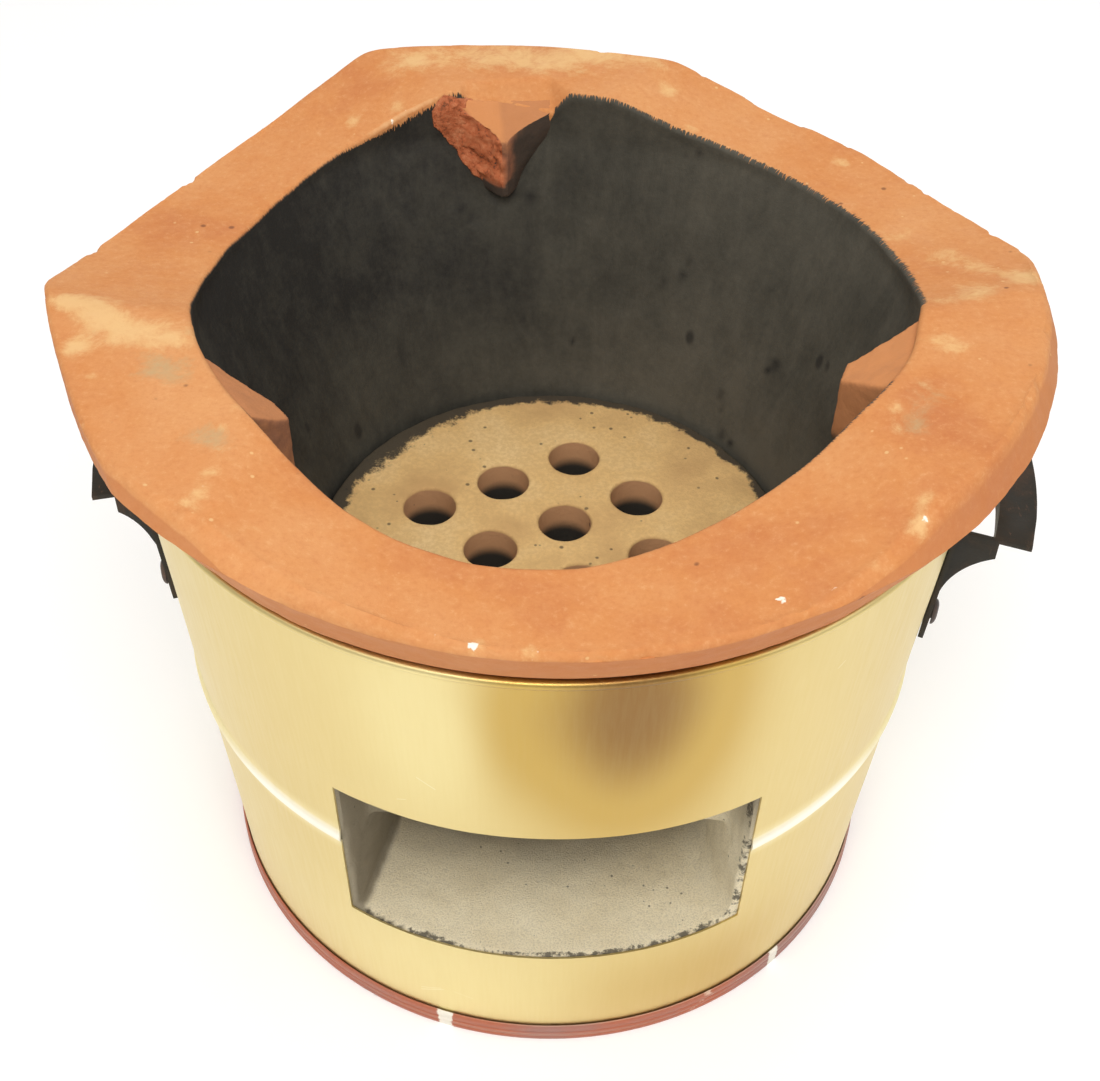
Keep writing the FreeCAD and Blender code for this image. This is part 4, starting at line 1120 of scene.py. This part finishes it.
@dataclass
class PotRest(Piece):
    """Prow-shaped clay lug, rooted in the bowl's wall, which takes its names from its side."""

    name: str = ""
    nodes: tuple[str, ...] = ()
    slot: str = "rest_clay"
    crease: float = 60.0
    side: Side = Side.LEFT
    way: float = 215.5
    voxel: float = 0.9
    rooted: float = 2.5
    clean: float = 0.0
    bright: float = 1.0
    nose: float = 91.0
    tip: float = 1.0
    spread: Pair = (1.0, 1.0)
    spread_z: Pair = (200.0, 218.0)
    highest: float = 230.6
    soot_z: Pair = (203.0, 195.0)
    break_z: Pair = (196.0, 204.0)
    nose_break_z: Pair = (213.0, 210.0)
    low_z: Pair = (204.0, 201.0)
    end_z: Pair = (201.5, 199.0)
    sooted_and_shaded_from: Pair = (94.4, 100.4)
    bowl: FireBowl = field(default_factory=FireBowl)

    def __post_init__(self) -> None:
        """Name the piece and its node after the side."""
        self.nodes = (f"pot_rest_{self.side.value}",)
        self.name = f"pot_rest_{self.side.value}_lug"

    @property
    def swing(self) -> Matrix:
        """Turn that brings the rest's own way to the first axis."""
        return Matrix.Rotation(-math.radians(self.way), 3, "Z")

    def root(self, vert: Point) -> None:
        """Push a point near the wall into it."""
        radius, way, height = vert.co.xy.length, way_of(vert.co), vert.co.z
        plain = self.bowl.plain_wall(height)
        near = rise(plain - radius, 4.0, 0.0)
        radius += near * (self.rooted + max(0.0, self.bowl.wall(height, way) - plain))
        vert.co = polar(radius, way, height)

    def draw(self, vert: Point) -> None:
        """Draw a point of the lug to the side it is spread to, under the ramp over the back crest."""
        along, across, height = self.swing @ vert.co
        root = self.bowl.mouth_radius
        share = min(1.15, max(0.0, (along - self.nose) / (root - self.nose)))
        if self.side is Side.BACK:
            edge = max(root, self.bowl.wall(height, way_of(vert.co))) + 0.8
            height = min(height, self.bowl.ramp_top(along) + 0.45 - 1.2 * max(0.0, along - edge))
        spread = self.spread[0] if across > 0.0 else self.spread[1]
        spread = lerp(1.0, spread, rise(height, *self.spread_z))
        across *= lerp(self.tip, spread, share)
        vert.co = self.swing.transposed() @ Vector((along, across, height))

    def mark(self, vert: Point, layers: Layers) -> float:
        """Write the marks of one point: the back rest is broken on its left, and its right flank is darkened
        by soot and by painted shade.

        Args:
            vert: The point.
            layers: Layers by name.

        Returns:
            How much of the point is broken clay.
        """
        normal = self.swing @ vert.normal
        along, across, height = self.swing @ vert.co
        # Points facing up get the ramp's clean colour, the others the darker flank colours: painted shade.
        ramp = rise(normal.z, 0.35, 0.65)
        soot_and_shade = 0.9 * rise(height, *self.soot_z)
        raw = 0.0
        if self.side is Side.BACK:
            raw = rise(height, *self.break_z) * rise(normal.y, 0.15, 0.40)
            ramp *= 1.0 - raw
            right = rise(across, 1.0, -1.0)
            low = rise(height, *self.low_z) * right
            end = rise(height, *self.end_z)
            if normal.x < -0.3:
                raw = max(raw, 0.9 * rise(height, *self.nose_break_z) * (1.0 - right))
            raw *= (1.0 - low) * (1.0 - end)
            # The back rest's right flank is darkened by soot and coat and by painted shade.
            soot_and_shade = max(right * rise(along, *self.sooted_and_shaded_from), low, end) * (1.0 - ramp)
            ramp *= lerp(1.0, 0.7, right)
        vert[layers["ramp"]] = self.clean + (1.0 - self.clean) * ramp * self.bright
        vert[layers["break"]] = raw
        vert[layers["soot_and_shade"]] = soot_and_shade
        return raw

    def build(self) -> Shape:
        """Root a copy of the lug in the wall, round it off and roughen it."""
        mesh = remeshed(cad_copy(self.nodes[0]), self.voxel)
        layers = self.marks(mesh, ("ramp", "break", "soot_and_shade"))
        for vert in mesh.verts:
            self.root(vert)
            self.draw(vert)
        smooth(mesh, 0.5)
        for vert in mesh.verts:
            raw = self.mark(vert, layers)
            rough = 0.25 * lump(vert.co, 6.0, 5.0) + raw * (0.3 + 1.5 * lump(vert.co, 4.5, 12.0))
            vert.co -= vert.normal * (0.2 + rough)
            vert.co.z = min(vert.co.z, self.highest)
        bmesh.ops.recalc_face_normals(mesh, faces=mesh.faces)
        return mesh


@dataclass
class Grate(Piece):
    """Loose clay grate: a thick disc with rows of drilled holes."""

    name: str = "grate_disc"
    nodes: tuple[str, ...] = ("grate",)
    slot: str = "grate_clay"
    crease: float = 35.0
    body: Body = Body.LOOSE_GRATE
    radius: float = 79.0
    rim_steps: int = 220
    top: float = 121.5
    thick: float = 22.0
    edge: float = 1.1
    longest: float = 6.0
    hole_radius: float = 9.0
    hole_steps: int = 56
    pitch: float = 28.5
    row_turn: float = 29.0
    row_slip: float = 5.0
    middle: Pair = (-4.0, 4.0)
    rows: tuple[tuple[int, int], ...] = ((-1, 3), (0, 4), (1, 3))
    smear_least: float = 4.0
    smears: tuple[Triple, ...] = ((140, 55, 10.0), (60, 40, 4.0))

    def holes(self) -> list[Vector]:
        """Middles of the drilled holes."""
        swing = Matrix.Rotation(math.radians(self.row_turn), 3, "Z")
        places = []
        for row, count in self.rows:
            for step in range(count):
                across = (step - (count - 1) / 2) * self.pitch - (self.row_slip if row == 0 else 0.0)
                places.append(swing @ Vector((across, row * self.pitch, 0.0)) + Vector((*self.middle, 0.0)))
        return places

    def build(self) -> Shape:
        """Fill the outline round the holes, thicken it, round its edges off and mark it."""
        mesh = bmesh.new()
        rings = [(Vector((0, 0, 0)), self.radius, self.rim_steps)]
        rings += [(place, self.hole_radius, self.hole_steps) for place in self.holes()]
        for place, radius, steps in rings:
            shift = Matrix.Translation(place + Vector((0, 0, self.top)))
            bmesh.ops.create_circle(mesh, cap_ends=False, radius=radius, segments=steps, matrix=shift)
        bmesh.ops.triangle_fill(mesh, edges=mesh.edges, use_beauty=True, use_dissolve=False)
        for _ in range(2):
            inner = [edge for edge in mesh.edges if not edge.is_boundary]
            long = [edge for edge in inner if edge.calc_length() > self.longest]
            bmesh.ops.subdivide_edges(mesh, edges=long, cuts=1)
            bmesh.ops.triangulate(mesh, faces=mesh.faces)
            inner = [edge for edge in mesh.edges if not edge.is_boundary]
            bmesh.ops.beautify_fill(mesh, faces=mesh.faces, edges=inner)
        lower = bmesh.ops.extrude_face_region(mesh, geom=list(mesh.faces), use_keep_orig=True)["geom"]
        moved = [item for item in lower if isinstance(item, Point)]
        bmesh.ops.translate(mesh, vec=(0, 0, -self.thick), verts=moved)
        bmesh.ops.recalc_face_normals(mesh, faces=mesh.faces)
        rims = [edge for edge in folds(mesh, 1.0) if abs(edge.verts[0].co.z - edge.verts[1].co.z) < 1.0]
        round_off(mesh, rims, self.edge, False)
        self.mark(mesh)
        return mesh

    def mark(self, mesh: Shape) -> None:
        """Write the marks of the holes and of the soot at the edge, and make the clay uneven."""
        layers = self.marks(mesh, ("bore", "smear"))
        places = self.holes()
        for vert in mesh.verts:
            flat = Vector((vert.co.x, vert.co.y, 0))
            near = min((flat - place).length for place in places)
            drilled = near < self.hole_radius + 0.3 and vert.co.z < self.top - 0.6
            vert[layers["bore"]] = 1.0 if drilled else 0.0
            width = self.smear_least + swells(way_of(vert.co), self.smears)
            vert[layers["smear"]] = max(0.0, 1.0 - (self.radius - flat.length) / width)
            out = flat.normalized() if flat.length > self.radius - 2 else Vector()
            sunk = Vector((0, 0, 0.25 + 0.35 * lump(vert.co, 14.0, 8.0)))
            vert.co -= sunk + out * (0.2 + 0.3 * lump(vert.co, 9.0, 2.0))


@dataclass
class TinWall(Piece):
    """Rolled tin wall with its hem, swaged bead, lap seam and air opening.

    Painted reflection bands are given as way, its spread, height, its spread and strength.
    """

    name: str = "tin_bucket"
    nodes: tuple[str, ...] = ("tin_wall",)
    slot: str = "gold_tin"
    crease: float = 45.0
    columns: int = 360
    foot_radius: float = 116.4
    foot_z: float = 1.2
    fold_z: float = 8.0
    top_radius: float = 128.7
    top_z: float = 192.6
    sheet_z: float = 191.6
    gauge: float = 0.6
    hem: float = 1.5
    hem_steps: int = 14
    swage_z: float = 95.5
    swage_half: float = 3.0
    swage_rise: float = 1.2
    seam_half: float = 4.5
    seam_rise: float = 0.7
    seam_edge: float = 0.8
    opening_half: float = 62.0
    opening: Pair = (53.0, 122.0)
    opening_room: float = 12.0
    painted_sheen_least: float = -0.62
    painted_sheen_bands: tuple[tuple[float, float, float, float, float], ...] = (
        (279.5, 10.5, 182, 50, 1.55), (302, 10, 24, 26, 0.25), (290, 7, 172, 40, 0.2),
        (266, 6, 176, 30, 0.4), (255, 7, 168, 34, -0.42), (286, 16, 28, 26, 0.3), (255, 26, 26, 34, -0.3),
    )
    painted_highlight_ways: tuple[Triple, ...] = ((232, 16, 1.0), (310, 16, 1.0))

    def radius(self, height: float) -> float:
        """Outside of the plain wall at a height."""
        return lerp(self.foot_radius, self.top_radius, (height - self.foot_z) / (self.top_z - self.foot_z))

    def levels(self) -> list[float]:
        """Heights of the wall's rows, closer together at the swaged bead."""
        plain = [self.foot_z, 4.0, 8.4, *range(12, 92, 4), *range(104, 192, 4), self.sheet_z]
        swage = [self.swage_z + self.swage_half * step / 4 for step in range(-5, 6)]
        return sorted(height for height in plain + swage if height <= self.sheet_z)

    def build(self) -> Shape:
        """Wrap the sheet round, press it, cut the opening, thicken it and add the rolled hem."""
        mesh = bmesh.new()
        levels = self.levels()
        for vert, row, way in wrapped(mesh, len(levels), self.columns):
            height = levels[row]
            radius = self.radius(height)
            off = (height - self.swage_z) / self.swage_half
            bead = self.swage_rise * math.cos(math.pi / 2 * off) if abs(off) < 1.0 else 0.0
            across = abs(math.radians(turn_between(way, BACK))) * radius
            lap = self.seam_rise * rise(across, self.seam_half + self.seam_edge, self.seam_half)
            free = rise(height, 10.0, 30.0) * rise(height, 186.0, 171.0)
            radius += bead + (lap if height > self.fold_z + 1.0 else 0.0)
            radius += free * (0.22 * lump(polar(120.0, way, height), 48.0, 4.0, 2) - 0.2)
            vert.co = polar(radius, way, height)
        bmesh.ops.remove_doubles(mesh, verts=mesh.verts, dist=MERGE)
        self.cut_opening(mesh)
        bmesh.ops.recalc_face_normals(mesh, faces=mesh.faces)
        bmesh.ops.solidify(mesh, geom=list(mesh.faces), thickness=self.gauge)
        circle = bmesh.ops.create_circle(mesh, cap_ends=False, radius=self.hem, segments=self.hem_steps)
        ring = circle["verts"]
        bmesh.ops.rotate(mesh, cent=(0, 0, 0), matrix=Matrix.Rotation(math.pi / 2, 3, "X"), verts=ring)
        bmesh.ops.translate(mesh, vec=(self.top_radius - self.hem / 4, 0, self.top_z), verts=ring)
        spin(mesh, ring + list({edge for vert in ring for edge in vert.link_edges}), self.columns)
        self.mark(mesh)
        return mesh

    def cut_opening(self, mesh: Shape) -> None:
        """Cut the air opening out of the front of the sheet."""
        def within(face: bmesh.types.BMFace, room: float) -> bool:
            """Whether a face lies in front, inside the opening and some room round it."""
            x, y, z = face.calc_center_median()
            return (y < 0.0 and abs(x) < self.opening_half + room
                    and self.opening[0] - room < z < self.opening[1] + room)

        cuts = [((side, 0, 0), (1, 0, 0)) for side in (-self.opening_half, self.opening_half)]
        cuts += [((0, 0, level), (0, 0, 1)) for level in self.opening]
        for point, normal in cuts:
            near = [face for face in mesh.faces if within(face, self.opening_room)]
            edges = list({edge for face in near for edge in face.edges})
            verts = list({vert for face in near for vert in face.verts})
            bmesh.ops.bisect_plane(mesh, geom=near + edges + verts, plane_co=point, plane_no=normal,
                                   dist=0.1 * MERGE)
        gone = [face for face in mesh.faces if within(face, 0.0)]
        bmesh.ops.delete(mesh, geom=gone, context="FACES")

    def mark(self, mesh: Shape) -> None:
        """Write the marks of the painted reflection bands, the bead's painted highlight, and the grime with
        painted shade.
        """
        layers = self.marks(mesh, ("painted_sheen", "grime_and_shade", "painted_highlight"))
        for vert in mesh.verts:
            way = way_of(vert.co)
            height = vert.co.z
            # Painted reflections: brown and pale bands round the wall, paler along the bead and browner at
            # the back.
            vert[layers["painted_sheen"]] = self.painted_sheen_least + sum(
                strength * towards(way, middle, spread) * bell(height, level, depth)
                for middle, spread, level, depth, strength in self.painted_sheen_bands
            ) - 0.9 * bell(height, self.swage_z, 3.0) + 0.5 * towards(way, BACK, 75)
            # Painted highlight on the bead, strongest at the two sides.
            sides = min(1.0, swells(way, self.painted_highlight_ways) + 0.15)
            vert[layers["painted_highlight"]] = sides * bell(height, self.swage_z, 3.4)
            # The opening's edge is darker: painted shadow gap and mortar smear.
            beside = abs(vert.co.x) - self.opening_half
            side = max(beside, self.opening[0] - height, height - self.opening[1])
            front = vert.co.y < 0 and beside < 3.0
            lip = 0.5 * bell(side, 0.0, 0.8) if front else 0.0
            # Painted shadow just under the rolled hem; darker at the fold above the foot ring.
            seams = (0.8 * bell(height, 189.6, 1.0), 0.55 * bell(height, self.fold_z, 1.6))
            vert[layers["grime_and_shade"]] = max(lip, *seams)


@dataclass
class BasePan(Piece):
    """Bucket bottom with its folded and grooved foot ring."""

    name: str = "foot_ring_pan"
    nodes: tuple[str, ...] = ("base_pan",)
    slot: str = "foot_tin"
    columns: int = 300
    profile: tuple[Pair, ...] = (
        (0.0, 4.0), (70.0, 4.0), (113.6, 4.0), (114.2, 3.4), (114.2, 0.5), (114.7, 0.0), (117.4, 0.0),
        (117.9, 0.4), (118.0, 1.0), (118.0, 2.0), (117.75, 2.3), (118.0, 2.6), (118.0, 4.4), (117.75, 4.7),
        (118.0, 5.0), (118.0, 6.9), (117.85, 7.6), (117.55, 8.0), (117.3, 8.0), (117.2, 7.7), (117.2, 0.9),
        (117.0, 0.8), (115.2, 0.8), (115.0, 1.0), (115.0, 4.3), (114.5, 4.8), (70.0, 4.8), (0.0, 4.8),
    )
    paint_gaps: tuple[Pair, ...] = ((253.8, 1.5), (312.8, 1.2))

    def build(self) -> Shape:
        """Turn the folded profile and mark the gaps in its paint."""
        mesh = bmesh.new()
        turned(mesh, self.profile, self.columns)
        bmesh.ops.recalc_face_normals(mesh, faces=mesh.faces)
        layers = self.marks(mesh, ("bare",))
        for vert in mesh.verts:
            way = way_of(vert.co)
            vert[layers["bare"]] = max(towards(way, middle, width) for middle, width in self.paint_gaps)
        return mesh


@dataclass
class DuctLining(Piece):
    """Hand-smeared mortar round the air duct, with crumbs left along the opening."""

    name: str = "duct_mortar"
    nodes: tuple[str, ...] = ("duct_lining",)
    slot: str = "mortar"
    crease: float = 60.0
    voxel: float = 1.6
    opening_half: float = 62.0
    opening_low: float = 53.0
    opening_high: float = 122.0
    tin_radius: float = 119.5

    def build(self) -> Shape:
        """Give a copy of the lining an even, smeared and grainy surface, and mark it."""
        mesh = remeshed(cad_copy(self.nodes[0]), self.voxel)
        layers = self.marks(mesh, ("cheek", "crumb"))
        smooth(mesh, 0.4)
        for vert in mesh.verts:
            reach = vert.co.xy.length
            rough = 0.35 * lump(vert.co, 12.0, 6.0) + 0.3 * lump(vert.co, 3.5, 11.0)
            inside = vert.normal.y > -0.5 or reach < 112.0
            if inside and self.opening_low - 2.0 < vert.co.z < self.opening_high + 3.0:
                vert.co += vert.normal * (rough - 0.1)
            lip = bell(reach, self.tin_radius, 2.6) if vert.co.y < -60 else 0.0
            low = bell(vert.co.z, self.opening_low, 3.0) + bell(vert.co.x, self.opening_half, 3.5)
            vert[layers["crumb"]] = min(0.55, lip * low)
            # Painted shade: the left cheek, its front edge, and the duct deeper in and under its roof.
            left = rise(vert.normal.x, 0.1, 0.6) if vert.co.x < -30.0 else 0.0
            edge = 0.85 if vert.co.x < -45.0 and vert.normal.y < -0.4 else 0.0
            painted_deep_shade = 0.7 * rise(reach, 96.0, 70.0) + 0.8 * bell(vert.co.z, self.opening_high, 30.0)
            vert[layers["cheek"]] = max(left, edge, min(0.9, painted_deep_shade))
        return mesh


@dataclass
class Handle(Piece):
    """Pressed sheet handle with softened folds, whose grip can be bent in towards the tin."""

    name: str = "handle"
    nodes: tuple[str, ...] = ()
    slot: str = "handle_iron"
    crease: float = 30.0
    fold: float = 0.45
    bend_from: float = 129.0
    bend: float = 1.0
    top_z: float = 168.6
    worn_folds: tuple[Pair, ...] = ((139.0, 1.2), (150.0, 0.9))

    def build(self) -> Shape:
        """Clear a copy of the handle of its flat facets, round its folds, mark them and bend the grip."""
        mesh = cad_copy(self.nodes[0])
        bmesh.ops.dissolve_limit(mesh, angle_limit=math.radians(3.0), verts=mesh.verts, edges=mesh.edges,
                                 use_dissolve_boundaries=False)
        round_off(mesh, folds(mesh, math.radians(50)), self.fold, True)
        bmesh.ops.triangulate(mesh, faces=[face for face in mesh.faces if len(face.verts) > 4])
        layers = self.marks(mesh, ("fold",))
        for vert in mesh.verts:
            reach = vert.co.xy.length
            worn = sum(bell(reach, radius, width) for radius, width in self.worn_folds)
            vert[layers["fold"]] = min(0.8, 0.3 * bell(vert.co.z, self.top_z, 0.7) * worn)
            if reach > self.bend_from:
                vert.co.xy *= lerp(self.bend_from, reach, self.bend) / reach
        return mesh


@dataclass
class HandleRivets(Piece):
    """Rivets through the handle feet, with domed heads and clenched tails."""

    name: str = "handle_rivet_set"
    nodes: tuple[str, ...] = ("handle_rivets",)
    slot: str = "rivet_iron"
    columns: int = 28
    ways: tuple[float, ...] = (-19.5, 14.5, 160.5, 194.5)
    height: float = 133.5
    profile: tuple[Pair, ...] = (
        (0.0, 123.2), (3.0, 123.3), (3.3, 123.7), (3.2, 124.0), (2.4, 124.0), (2.4, 126.96), (4.1, 126.96),
        (4.2, 127.14), (3.95, 127.69), (3.2, 128.19), (2.2, 128.47), (1.1, 128.54), (0.0, 128.55),
    )

    def build(self) -> Shape:
        """Turn each rivet and point it outwards."""
        mesh = bmesh.new()
        for way in self.ways:
            verts = turned(mesh, self.profile, self.columns)
            outward = Matrix.Rotation(math.radians(way), 4, "Z") @ Matrix.Rotation(math.pi / 2, 4, "Y")
            bmesh.ops.transform(mesh, matrix=Matrix.Translation((0, 0, self.height)) @ outward, verts=verts)
        self.marks(mesh, ("fold",))
        bmesh.ops.recalc_face_normals(mesh, faces=mesh.faces)
        return mesh


@dataclass
class PackedFill:
    """Ash that is packed in the bucket out of sight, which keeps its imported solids."""

    nodes: tuple[str, ...] = ("insulation_fill", "ash_bedding")

    def dress(self, finish: bpy.types.Material) -> None:
        """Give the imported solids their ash."""
        for node in self.nodes:
            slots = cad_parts[node].data.materials
            slots.clear()
            slots.append(finish)
            LOG.info("%s: packed solid, new finish", node)


@dataclass
class Studio:
    """Pale floor, soft lights and the camera at the photograph's angle.

    Lights are given as name, place and size in metres, power and colour.
    """

    camera_place: Triple = (0.0, -382.0, 482.0)
    focal: float = 1550.0
    width: float = 1100.0
    sensor: float = 36.0
    pan: float = -0.127
    tilt: float = 43.44
    roll: float = 1.118
    floor_half: float = 6.0
    lights: tuple[tuple[str, Triple, float, float, Colour], ...] = (
        ("key_softbox", (-0.9, -0.9, 1.9), 1.6, 7.0, (1.0, 0.985, 0.96)),
        ("front_softbox", (0.03, -0.70, 1.16), 0.6, 6.8, (1.0, 0.985, 0.96)),
        ("fill_softbox", (1.3, -0.7, 1.3), 1.4, 4.0, (1.0, 0.99, 0.97)),
        ("back_softbox", (0.2, 1.4, 1.7), 1.6, 8.0, (1.0, 0.99, 0.97)),
    )
    target: Triple = (0.0, 0.0, 0.13)
    sky: Colour = (1.0, 0.998, 0.995)
    sky_strength: float = 0.58

    def lay_floor(self) -> None:
        """Lay the floor under the stove."""
        mesh = bmesh.new()
        bmesh.ops.create_grid(mesh, x_segments=4, y_segments=4, size=self.floor_half)
        data = as_data(mesh, "studio_floor")
        data.materials.append(PaleFloor().material())
        floor = placed(data, "studio_floor")

    def hang_lights(self) -> None:
        """Hang the softboxes and light the room evenly."""
        for name, place, size, power, colour in self.lights:
            light = bpy.data.lights.new(name, "AREA")
            light.shape = "DISK"
            light.size = size
            light.energy = power
            light.color = colour
            lamp = placed(light, name)
            lamp.location = place
            lamp.rotation_euler = (Vector(self.target) - Vector(place)).to_track_quat("-Z", "Y").to_euler()
        world = bpy.data.worlds.new("studio_room")
        world.use_nodes = True
        room = world.node_tree.nodes["Background"]
        room.inputs["Color"].default_value = (*self.sky, 1.0)
        room.inputs["Strength"].default_value = self.sky_strength
        bpy.context.scene.world = world

    def set_camera(self) -> None:
        """Set the camera where the photograph was taken from."""
        pan, tilt, roll = (math.radians(angle) for angle in (self.pan, self.tilt, self.roll))
        ahead = Vector((math.sin(pan) * math.cos(tilt), math.cos(pan) * math.cos(tilt), -math.sin(tilt)))
        level = Vector((math.cos(pan), -math.sin(pan), 0.0))
        upright = level.cross(ahead)
        right = math.cos(roll) * level + math.sin(roll) * upright
        up = -math.sin(roll) * level + math.cos(roll) * upright
        lens = bpy.data.cameras.new("photo_camera")
        lens.sensor_fit = "HORIZONTAL"
        lens.sensor_width = self.sensor
        lens.lens = self.focal / self.width * self.sensor
        lens.clip_start = 0.01
        camera = placed(lens, "photo_camera")
        axes = Matrix((right, up, -ahead)).transposed().to_4x4()
        camera.matrix_world = Matrix.Translation(Vector(self.camera_place) * MM) @ axes
        bpy.context.scene.camera = camera

    def build(self) -> None:
        """Set the whole studio up."""
        self.lay_floor()
        self.hang_lights()
        self.set_camera()
        bpy.context.scene.view_settings.view_transform = "Standard"


def main() -> None:
    """Build the stove's pieces in order, then the studio round them."""
    logging.basicConfig(level=logging.INFO, format="%(message)s")
    bowl = FireBowl()
    bowl.dress(BowlClay().material())
    rest_clay = RestClay().material()
    rests = (
        PotRest(side=Side.BACK, way=101.5, nose=95.4, tip=0.25, spread=(1.8, 1.75), bowl=bowl),
        PotRest(side=Side.LEFT, way=215.5, nose=91.0, spread=(0.5, 1.95), clean=0.15, bright=0.6, bowl=bowl),
        PotRest(side=Side.RIGHT, way=339.5, nose=86.5, spread=(1.4, 1.0), clean=0.7, bowl=bowl),
    )
    for rest in rests:
        rest.dress(rest_clay)
    Grate().dress(GrateClay().material())
    DuctLining().dress(Mortar().material())
    TinWall().dress(GoldTin().material())
    BasePan().dress(FootPaint().material())
    paint = HandlePaint().material()
    for side, bend in (("right", 1.0), ("left", 0.7)):
        Handle(name=f"handle_{side}_sheet", nodes=(f"handle_{side}",), bend=bend).dress(paint)
    HandleRivets().dress(RIVET_PAINT.material())
    PackedFill().dress(PackedAsh().material())
    Studio().build()


if __name__ == "__main__":
    main()
